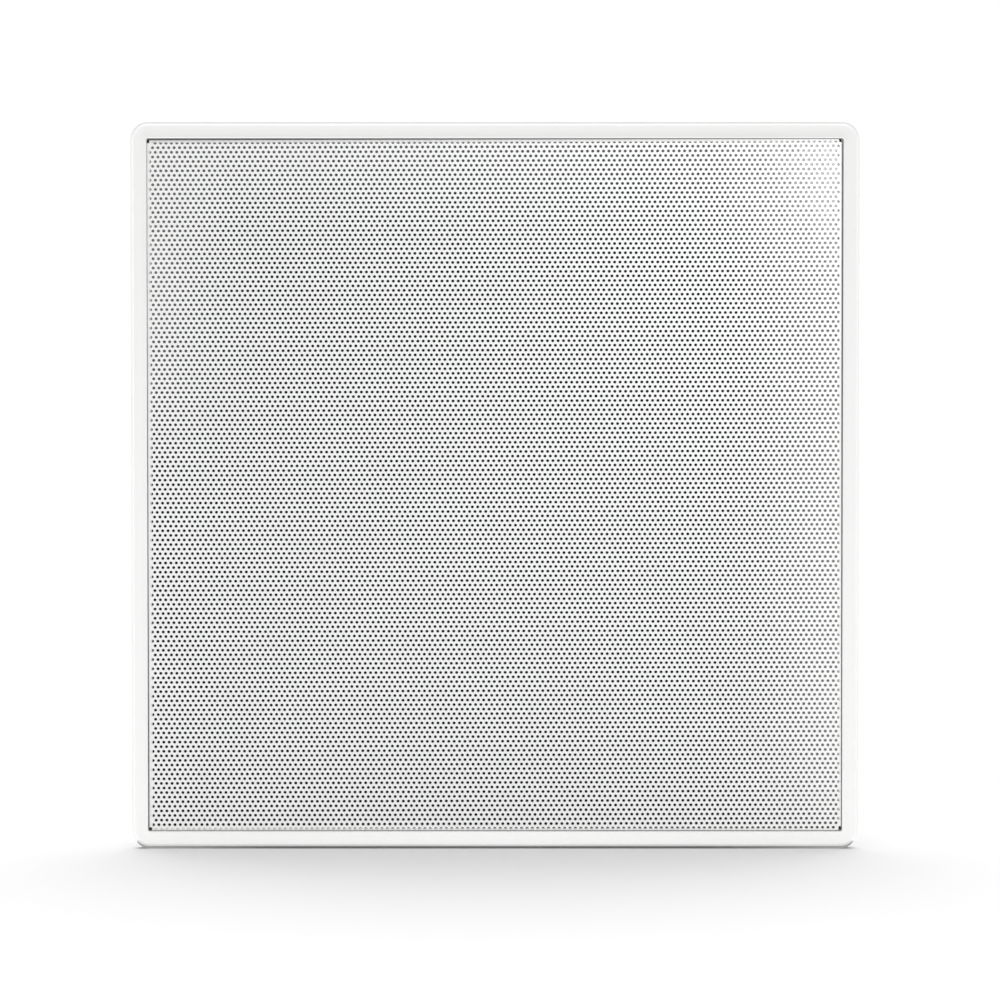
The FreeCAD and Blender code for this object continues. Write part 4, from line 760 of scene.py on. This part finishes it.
# black felt tape round the returns, from the bend to the rear edge
bands, faces = [], []
for axis in (0, 1):
    for sign in (-1, 1):
        reach = NOTCH - 0.02 if axis == 0 else FLAT - 0.32
        along = np.linspace(-reach, reach, 120)
        for w in (TAPE, FLAT + STRIP):
            edge = np.full(len(along), sign * w)
            bands.append(folded(edge, along, 0.02) if axis == 0 else folded(along, edge, 0.02))
        k = np.arange(119) + 240 * (len(bands) // 2 - 1)
        faces.append(np.stack([k, k + 1, k + 121, k + 120], -1))
# the same tape turned in over the inside of the fold, behind the last holes
for axis in (0, 1):
    for sign in (-1, 1):
        reach = NOTCH - 0.04 if axis == 0 else FLAT - 0.34
        along = np.linspace(-reach, reach, 120)
        steps = [FLAT - 0.2] + [FLAT + BEND * k / 6 for k in range(7)] + [FLAT + STRIP - 0.1]
        base = 120 * len(bands)
        for w in steps:
            edge = np.full(len(along), sign * w)
            bands.append(folded(edge, along, 1.04) if axis == 0 else folded(along, edge, 1.04))
        for row in range(len(steps) - 1):
            k = base + 120 * row + np.arange(119)
            faces.append(np.stack([k, k + 120, k + 121, k + 1], -1))
# and a square patch in each corner notch
c, s = math.cos(LEAN), math.sin(LEAN)
near, far = NOTCH + 0.02, 128.45
for sx in (-1, 1):
    for sz in (-1, 1):
        px, pz = sx * np.array([near, far, far, near]), sz * np.array([near, near, far, far])
        base = sum(len(b) for b in bands)
        bands.append(np.stack([px * c - pz * s + PUSH_X, np.full(4, -5.74), px * s + pz * c + PUSH_Z], -1) * MM)
        faces.append(base + (np.array([[0, 1, 2, 3]]) if sx * sz > 0 else np.array([[3, 2, 1, 0]])))
felt = raw_mesh("grille_edge_felt", np.concatenate(bands), [np.concatenate(faces)], M["black_cloth"])
piece(felt, "grille", slot="black_cloth")

# black cloth stretched behind the sheet, its corners reaching into the notches
half, n = 127.46, 49
line = np.linspace(-half, half, n)
gx, gz = np.meshgrid(line, line)
gx, gz = gx.copy(), gz.copy()
for sx in (0, -1):
    for sz in (0, -1):
        gx[sz, sx] *= 128.45 / half
        gz[sz, sx] *= 128.45 / half
sag = -5.62 + 0.05 * np.cos(gx / 31.0) * np.cos(gz / 27.0)
c, s = math.cos(LEAN), math.sin(LEAN)
pts = np.stack([gx * c - gz * s + PUSH_X, sag, gx * s + gz * c + PUSH_Z], -1).reshape(-1, 3) * MM
i, k = np.meshgrid(np.arange(n - 1), np.arange(n - 1), indexing="ij")
q0 = (i * n + k).ravel()
cloth = raw_mesh("grille_scrim", pts, [np.stack([q0, q0 + 1, q0 + n + 1, q0 + n], -1)], M["black_cloth"], smooth=True, uv=np.stack([gx, gz], -1).reshape(-1, 2) / (2 * half) * 0.99 + 0.5)
piece(cloth, "grille", "grille_cloth", slot="black_cloth")


def lights_only(light, names):
    """Keeps a lamp's light to the named objects."""
    group = bpy.data.collections.new(light.name + "_receivers")
    for n in names:
        group.objects.link(bpy.data.objects[n])
    light.light_linking.receiver_collection = group
    light.visible_camera = False


# soft accents: the grille's right side, the cloth behind the holes along the top and the sides, and the rim's outer edges
SHEETS = ["grille_sheet_%d" % (k + 1) for k in range(PARTS)]
lights_only(panel("grille_right", (0.2, -0.15, 0.18), (0.1, -0.0065, 0.1), (0.2, 0.2), 0.17), SHEETS)
lights_only(panel("grille_low_right", (0.165, -0.06, -0.085), (0.125, -0.0065, -0.085), (0.03, 0.12), 0.005), SHEETS)
for name, place, aim, size, power in (
        ("scrim_right", (0.15, -0.15, 0.0), (0.138, -0.0065, 0.0), (0.03, 0.25), 0.42),
        ("scrim_top", (0.0, -0.15, 0.152), (0.0, -0.0065, 0.142), (0.25, 0.03), 0.22),
        ("scrim_corner", (0.15, -0.15, 0.14), (0.13, -0.0065, 0.125), (0.05, 0.05), 0.23),
        ("scrim_left", (-0.15, -0.15, 0.09), (-0.138, -0.0065, 0.085), (0.03, 0.1), 0.105)):
    glow = panel(name, place, aim, size, power)
    glow.data.spread = math.radians(36.0)
    lights_only(glow, ["grille_scrim"])
RIM = [NODES["bezel_frame"].name]
lights_only(lamp("rim_top", 180.0, 78.0, 30.0, 0.48), RIM)
lights_only(lamp("rim_sheen", 180.0, 6.0, 24.0, 0.12), RIM)
lights_only(lamp("rim_left", -102.0, 0.0, 30.0, 0.62), RIM)
lights_only(lamp("rim_right", 102.0, 0.0, 30.0, 0.42), RIM)
lights_only(panel("rim_low", (0.0, -0.066, -0.20), (0.0, -0.006, -0.138), (0.27, 0.03), 0.042), RIM)

# ------------------------------------------------------------------ foam and rubber


def frame_strip(name, profile, mid, corner, mat):
    """A closed profile of offset and depth carried round a square with rounded corners."""
    prof = np.asarray(profile, float)
    rings = []
    for off, y in prof:
        r = rrect(mid + off, mid + off, max(corner + off, 0.4), 8)
        rings.append(np.stack([r[:, 0], np.full(len(r), y), r[:, 1]], -1))
    m = len(rings[0])
    v = np.concatenate(rings) * MM
    f = []
    for i in range(len(prof)):
        k = (i + 1) % len(prof)
        a = np.arange(m)
        b = (a + 1) % m
        f.append(np.stack([i * m + a, i * m + b, k * m + b, k * m + a], -1))
    o = raw_mesh(name, v, [np.concatenate(f)], mat, smooth=True)
    finish_mesh(o, 50.0)
    return o


bulge = [(-2.45, -0.98), (2.45, -0.98)] + [(2.45 * math.cos(a) + 0.0, -0.55 + 0.52 * math.sin(a)) for a in np.linspace(-0.25, math.pi + 0.25, 15)]
strip = frame_strip("flange_foam", bulge, 130.5, 2.6, M["foam"])
piece(strip, "root", "flange_gasket", slot="foam")

arc = np.linspace(math.radians(5), math.radians(175), 28)
roll = [(97.0, 8.02), (92.9, 8.02), (92.45, 8.0)] + [(86 + 6.4 * math.cos(a), 8.4 - 6.4 * math.sin(a)) for a in arc] + [(79.55, 8.0), (79.1, 8.02), (76.2, 8.02), (76.0, 8.2)]
roll += [(76.0, 8.78), (80.2, 8.78)] + [(86 + 5.6 * math.cos(a), 8.4 - 5.6 * math.sin(a)) for a in arc[::-1]] + [(91.8, 8.78), (97.0, 8.78)]
surround = lathe("surround_roll", roll, M["rubber"], seg=160, sharp=50.0)
gasket = lathe("surround_gasket", rounded([(92.95, 6.45), (96.4, 6.4), (97.0, 7.0), (97.0, 7.98), (92.95, 7.98)], 0.35), M["rubber"], seg=160)
piece(gasket, "root", "woofer_gasket", slot="rubber")

rr = np.linspace(21.2, 51.8, 100)
wave = 40.6 + 1.12 * np.sin(2 * np.pi * 5 * (rr - 21.2) / 30.6)
front = [(19.25, 40.38), (20.6, 40.36)] + [(r, y - 0.24) for r, y in zip(rr, wave)] + [(52.6, 40.36), (55.7, 40.36)]
back = [(55.7, 40.84), (52.6, 40.84)] + [(r, y + 0.24) for r, y in zip(rr[::-1], wave[::-1])] + [(20.6, 40.84), (19.25, 40.84)]
spider = lathe("spider_disc", front + back, M["spider_cloth"], seg=120, sharp=60.0)


def suspend(o, node):
    """A ring held at its outer edge by the chassis and at its inner edge by the cone: hides the part it replaces, bakes
    its placement into its points and reads them back, leaving them unchanged.
    """
    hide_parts(node)
    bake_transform(o)
    co = np.empty(len(o.data.vertices) * 3, np.float32)
    o.data.vertices.foreach_get("co", co)
    co = co.reshape(-1, 3)


suspend(surround, "woofer_surround")
suspend(spider, "woofer_spider")

# ------------------------------------------------------------------ cone, coils and dome

line = [(76.0, 8.8), (68.0, 12.4), (60.0, 15.7), (52.0, 18.8), (45.0, 21.5), (38.0, 24.2), (32.0, 26.6), (26.0, 29.2), (22.0, 31.2), (19.25, 33.0)]
face = spline(line, 60)
cone = lathe("cone_body", [(79.4, 8.82), (76.6, 8.82)] + [tuple(p) for p in face] + [(p[0], p[1] + 0.58) for p in face[::-1]] + [(76.6, 9.38), (79.4, 9.38)], M["cone"], seg=160, sharp=45.0)
piece(cone, "cone", "woofer_cone", slot="cone")


def turns(r_in, r_mid, wire, lo, hi):
    """The outline of a single layer of round wire."""
    n = int(round((hi - lo) / (2 * wire)))
    w = (hi - lo) / (2 * n)
    out = [(r_in, lo)]
    for i in range(n):
        c = lo + w * (2 * i + 1)
        out += [(r_mid + wire * math.cos(a), c + w * math.sin(a)) for a in np.linspace(-math.pi / 2, math.pi / 2, 6)[(0 if i == 0 else 1):]]
    return out + [(r_in, hi)]


winding = lathe("voice_coil_wire", turns(19.22, 19.42, 0.25, 44.75, 54.65), M["copper"], seg=96, sharp=70.0)
piece(winding, "cone", "voice_coil_winding", slot="copper")
fine = lathe("tweeter_coil_wire", turns(12.42, 12.62, 0.16, 9.02, 12.46), M["copper"], seg=72, sharp=70.0)
piece(fine, "tweeter", "tweeter_coil", slot="copper")

R = (12.75 ** 2 + 3.5 ** 2) / 7.0
cap = [(r, 5.12 + R - math.sqrt(R * R - r * r)) for r in np.linspace(0.0, 12.7, 36)]
dome = lathe("dome_skin", cap + [(13.0, 8.64), (15.4, 8.64), (15.4, 8.96), (12.8, 8.96)] + [(r * 0.985, y + 0.28) for r, y in cap[::-1]], M["silk"], seg=96, sharp=50.0)
piece(dome, "tweeter", "tweeter_dome", slot="silk")

# ------------------------------------------------------------------ tinsel leads

for tag, z in (("a", 4.0), ("b", -4.0)):
    way = spline([(59.76, 41.2, z), (61.4, 37.0, z), (64.0, 31.0, z), (59.5, 29.3, z * 0.97), (52.0, 25.0, z * 0.93), (46.0, 22.37, z * 0.9)], 120)
    k = np.arange(120)
    lead = tube("tinsel_lead_" + tag, way, 0.42 + 0.05 * np.cos(k * 1.9), M["tinsel"], seg=12)
    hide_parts("tinsel_leads")
    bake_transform(lead)

# ------------------------------------------------------------------ crossover parts

BOARD = 77.8


def bent(points, r, mat, n=40):
    return tube("wire", spline(points, n), r, mat, seg=10)


def solder_cone(x, z, r=1.5, h=1.0):
    return lathe("joint", [(0.0, h), (0.45, h), (0.6, h * 0.62), (r * 0.62, h * 0.25), (r, 0.03), (r, 0.0), (0.0, 0.0)], M["solder"], seg=20, centre=(x, z), base=BOARD + 0.05, sharp=60.0)


def coil(axis, centre, radius, wire, lo, hi):
    """A round wire wound once along a drum."""
    n = int((hi - lo) / (2.02 * wire))
    t = np.linspace(0, n * 2 * np.pi, n * 28)
    along = lo + wire + (hi - lo - 2 * wire) * t / t[-1]
    a, b = radius * np.cos(t), radius * np.sin(t)
    p = np.stack([centre[0] + a, along, centre[1] + b], -1) if axis == "Y" else np.stack([along, centre[0] + a, centre[1] + b], -1)
    return tube("turns", p, wire, M["copper"], seg=8)


drum_a = lathe("drum", [(6.05, 79.05), (12.2, 79.05), (12.2, 90.55), (6.05, 90.55)], M["copper"], seg=64, centre=(-28.0, 12.0))
wound_a = coil("Y", (-28.0, 12.0), 12.45, 0.52, 79.05, 90.55)
end_a1 = bent([(-28.0 + 12.4, 79.7, 12.0), (-28.0 + 14.2, 80.0, 12.3), (-28.0 + 15.0, 79.2, 12.5), (-28.0 + 15.2, 77.85, 12.5)], 0.45, M["copper"])
end_a2 = bent([(-28.0 - 12.4, 79.7, 12.0), (-28.0 - 14.2, 80.0, 12.3), (-28.0 - 15.0, 79.2, 12.5), (-28.0 - 15.2, 77.85, 12.5)], 0.45, M["copper"])
drum_b = lathe("drum", [(3.55, 15.25), (6.7, 15.25), (6.7, 32.75), (3.55, 32.75)], M["copper"], seg=56, centre=(85.8, 16.0), along="X")
wound_b = coil("X", (85.8, 16.0), 6.85, 0.4, 15.3, 32.7)
end_b1 = bent([(16.0, 85.0, 9.1), (16.0, 82.5, 8.3), (16.0, 80.0, 7.9), (16.0, 77.85, 7.8)], 0.36, M["copper"])
end_b2 = bent([(32.0, 85.0, 9.1), (32.0, 82.5, 8.3), (32.0, 80.0, 7.9), (32.0, 77.85, 7.8)], 0.36, M["copper"])
piece(join("inductor_wire", [drum_a, wound_a, end_a1, end_a2, drum_b, wound_b, end_b1, end_b2]), "root", "inductor_windings", slot="copper")


def capacitor(r, lo, hi, y, z):
    wrap = lathe("wrap", [(r - 1.0, lo + 0.55), (r - 0.75, lo + 0.1), (r - 0.4, lo), (r - 0.1, lo + 0.2), (r, lo + 0.6), (r, hi - 0.6), (r - 0.1, hi - 0.2), (r - 0.4, hi), (r - 0.75, hi - 0.1), (r - 1.0, hi - 0.55)], M["film_capacitor"], seg=64, centre=(y, z), along="X", closed=False)
    caps = [lathe("seal", [(0.0, e + s * 0.35), (r * 0.5, e + s * 0.42), (r - 0.95, e + s * 0.6), (r - 0.9, e + s * 0.9)], M["epoxy"], seg=48, centre=(y, z), along="X", closed=False) for e, s in ((lo, 1), (hi, -1))]
    return [wrap] + caps


parts = capacitor(6.5, 10.0, 40.0, 84.3, -4.0) + capacitor(5.0, -39.0, -13.0, 82.8, -10.0)
parts += [
    bent([(39.6, 84.3, -4.0), (40.7, 84.3, -4.0), (41.35, 83.6, -4.0), (41.5, 82.0, -4.0), (41.5, 79.5, -4.0), (41.5, 77.85, -4.0)], 0.35, M["solder"]),
    bent([(10.4, 84.3, -4.0), (9.2, 84.3, -4.2), (8.5, 83.4, -5.0), (8.35, 80.6, -6.3), (8.3, 77.85, -6.6)], 0.35, M["solder"]),
    bent([(-38.6, 82.8, -10.0), (-40.0, 82.8, -10.0), (-40.65, 82.1, -10.0), (-40.8, 80.5, -10.0), (-40.8, 77.85, -10.0)], 0.35, M["solder"]),
    bent([(-13.4, 82.8, -10.0), (-12.0, 82.8, -10.0), (-11.35, 82.1, -10.0), (-11.2, 80.5, -10.0), (-11.2, 77.85, -10.0)], 0.35, M["solder"]),
]
piece(join("capacitor_set", parts), "root", "crossover_capacitors", slot="film_capacitor")


def resistor(x, z, along):
    """A cement block in a pressed trough, open face up, with rounded edges."""
    w, l = 3.45, 7.95
    hx, hz = (l, w) if along == "X" else (w, l)
    outer = rrect(hx, hz, 0.5, 4) + np.array([x, z])
    shell = prism("block", outer, 78.0, 84.75, M["cement"], bevel=0.45)
    fill = prism("fill", rrect(hx - 0.9, hz - 0.9, 0.4, 4) + np.array([x, z]), 84.4, 84.82 - 0.04, M["cement"], bevel=0.12)
    feet = [prism("foot", rrect(0.8, 0.8, 0.2, 2) + np.array([x + sx * (hx - 1.2), z + sz * (hz - 1.2)]), 77.82, 78.3, M["cement"]) for sx in (-1, 1) for sz in (-1, 1)]
    return [shell, fill] + feet


blocks = resistor(-22.0, -22.0, "X") + resistor(39.0, 13.5, "Z")
blocks += [
    bent([(-29.7, 81.0, -22.0), (-31.2, 81.0, -22.0), (-31.9, 80.3, -22.0), (-32.0, 79.2, -22.0), (-32.0, 77.85, -22.0)], 0.35, M["solder"]),
    bent([(-14.3, 81.0, -22.0), (-12.8, 81.0, -22.0), (-12.1, 80.3, -22.0), (-12.0, 79.2, -22.0), (-12.0, 77.85, -22.0)], 0.35, M["solder"]),
    bent([(38.4, 81.0, 21.2), (37.9, 81.0, 22.5), (37.3, 80.2, 23.3), (37.2, 79.2, 23.4), (37.2, 77.85, 23.4)], 0.35, M["solder"]),
    bent([(39.0, 81.0, 5.8), (39.0, 81.0, 4.6), (39.0, 80.3, 3.9), (39.0, 79.2, 3.7), (39.0, 77.85, 3.7)], 0.35, M["solder"]),
]
piece(join("resistor_set", blocks), "root", "crossover_resistors", slot="cement")

# copper tracks under the mask, pads and solder on the board
PADS = [(41.5, -4.0), (8.3, -6.6), (-40.8, -10.0), (-11.2, -10.0), (-32.0, -22.0), (-12.0, -22.0), (37.2, 23.4), (39.0, 3.7), (-12.8, 12.5), (-43.2, 12.5), (16.0, 7.8), (32.0, 7.8)]
LEAD_PADS = [(43.4, 4.0), (43.4, -4.0), (-11.6, 1.76), (-11.6, -1.76)]
TRACKS = [
    [(43.4, 4.0), (39.0, 3.7), (32.0, 7.8)], [(43.4, -4.0), (41.5, -4.0), (41.5, -12.0), (33.5, -15.0)], [(8.3, -6.6), (12.0, -10.5), (33.5, -10.5)],
    [(-11.2, -10.0), (-11.6, -1.76)], [(-40.8, -10.0), (-43.0, -14.0), (-36.0, -22.0), (-32.0, -22.0)], [(-12.0, -22.0), (-5.0, -22.0)],
    [(-11.6, 1.76), (-12.8, 12.5)], [(-43.2, 12.5), (-43.2, 24.0), (-30.0, 27.0), (10.0, 27.0), (12.0, 22.0), (12.0, 9.5), (16.0, 7.8)], [(37.2, 23.4), (34.5, 27.0), (14.0, 27.0)],
]


def track(points, width):
    """A flat strip with round ends for each leg, the legs overlapping at its bends."""
    out = []
    for (x0, z0), (x1, z1) in zip(points[:-1], points[1:]):
        a = math.atan2(z1 - z0, x1 - x0)
        ends = [(x1 + width * math.cos(a + t), z1 + width * math.sin(a + t)) for t in np.linspace(-math.pi / 2, math.pi / 2, 9)]
        ends += [(x0 + width * math.cos(a + t), z0 + width * math.sin(a + t)) for t in np.linspace(math.pi / 2, 1.5 * math.pi, 9)]
        out.append(prism("strip", np.array(ends), BOARD + 0.005, BOARD + 0.045, M["board_trace"]))
    return out


tracks = [t for line in TRACKS for t in track(line, 1.1)]
piece(join("board_tracks", tracks), "root", slot="board")
joints = [lathe("pad", [(0.0, 0.055), (1.9, 0.055), (1.95, 0.0), (0.0, 0.0)], M["solder"], seg=24, centre=(x, z), base=BOARD + 0.004) for x, z in PADS + LEAD_PADS]
joints += [solder_cone(x, z) for x, z in PADS] + [solder_cone(x, z, 1.6, 0.8) for x, z in LEAD_PADS]
piece(join("board_solder", joints), "root", slot="zinc_steel")

# ------------------------------------------------------------------ clamp screws with real threads

PITCH_Y, MAJOR, MINOR = 1.5, 1.97, 1.52


def screw_mesh(name, x, z):
    n, seg = 8, 20
    ys = np.arange(3.0, 64.6, PITCH_Y / n)
    th = np.linspace(0, 2 * np.pi, seg, endpoint=False)
    ph = (ys[:, None] / PITCH_Y - th[None, :] / (2 * np.pi)) % 1.0
    ridge = np.clip(1.25 - 2.5 * np.abs(ph - 0.5), 0.0, 1.0)
    fade = np.clip((ys - 3.0) / 1.5, 0, 1) * np.clip((65.2 - ys) / 1.2, 0, 1)
    r = MINOR + (MAJOR - MINOR) * ridge * fade[:, None]
    rings = np.stack([x + r * np.sin(th), np.broadcast_to(ys[:, None], r.shape), z + r * np.cos(th)], -1)
    top = [(MAJOR, 1.15), (MAJOR, 2.2)]
    pre = np.stack([np.stack([x + q * np.sin(th), np.full(seg, y), z + q * np.cos(th)], -1) for q, y in top])
    tip = np.stack([np.stack([x + q * np.sin(th), np.full(seg, y), z + q * np.cos(th)], -1) for q, y in ((1.3, 65.3), (0.5, 65.9))])
    v = np.concatenate([pre, rings, tip]).reshape(-1, 3) * MM
    m = len(v) // seg
    f = []
    for i in range(m - 1):
        a = np.arange(seg)
        b = (a + 1) % seg
        f.append(np.stack([i * seg + a, i * seg + b, (i + 1) * seg + b, (i + 1) * seg + a], -1))
    shank = raw_mesh("shank", v, [np.concatenate(f), np.array([(m - 1) * seg + np.arange(seg)])], M["zinc_screw"], smooth=True)
    finish_mesh(shank, 60.0)
    head = lathe("head", [(0.0, -1.28), (2.5, -1.26), (3.4, -1.0), (4.0, -0.45), (4.18, 0.1), (4.18, 1.0), (4.0, 1.18), (0.0, 1.18)], M["zinc_screw"], seg=48, centre=(x, z), sharp=45.0)
    w, c = 0.42, 2.3
    cross = [(w, c), (-w, c), (-w, w), (-c, w), (-c, -w), (-w, -w), (-w, -c), (w, -c), (w, -w), (c, -w), (c, w), (w, w)]
    cutter = prism("cutter", np.array(cross) + np.array([x, z]), -2.0, 0.2, M["zinc_screw"])
    bo = head.modifiers.new("cut", "BOOLEAN")
    bo.operation, bo.solver, bo.object = "DIFFERENCE", "EXACT", cutter
    made = bpy.data.meshes.new_from_object(head.evaluated_get(bpy.context.evaluated_depsgraph_get()))
    head.modifiers.clear()
    old = head.data
    head.data = made
    bpy.data.meshes.remove(old)
    head.data.materials.clear()
    head.data.materials.append(M["zinc_screw"])
    for poly in head.data.polygons:
        poly.material_index = 0
    head.data.set_sharp_from_angle(angle=math.radians(40.0))
    old = cutter.data
    bpy.data.objects.remove(cutter)
    bpy.data.meshes.remove(old)
    return join(name, [shank, head])


AXES = {"top": (86.0, 107.0), "left": (-107.0, 86.0), "bottom": (-86.0, -107.0), "right": (107.0, -86.0)}
for side in SIDES:
    piece(screw_mesh("screw_thread_" + side, *AXES[side]), "screw_" + side, "clamp_screw_" + side, slot="zinc_screw")

# ------------------------------------------------------------------ softened edges on the moulded and pressed parts


def soften(node, width, angle=38.0, segments=2):
    o = NODES[node]
    w = o.modifiers.new("weld", "WELD")
    w.merge_threshold = 1e-6
    b = o.modifiers.new("edge", "BEVEL")
    b.width = width * MM
    b.segments = segments
    b.limit_method = "ANGLE"
    b.angle_limit = math.radians(angle)
    b.harden_normals = False
    b.use_clamp_overlap = True


SOFT = {
    "crossover_tray": 0.35, "crossover_board": 0.12, "terminal_housing": 0.5, "terminal_button_red": 0.7, "terminal_button_black": 0.7, "woofer_magnet": 0.9, "woofer_yoke": 0.5,
    "woofer_top_plate": 0.4, "baffle": 0.3, "tweeter_housing": 0.4, "tweeter_faceplate": 0.25, "tweeter_fork": 0.4, "inductor_bobbins": 0.3, "grille_magnets": 0.2, "post_nut": 0.25,
    "woofer_terminal_strip": 0.15, "woofer_terminal_lugs": 0.1, "tweeter_post": 0.2,
}
SOFT.update({"clamp_arm_" + side: 0.7 for side in SIDES})
for n, w in SOFT.items():
    soften(n, w)
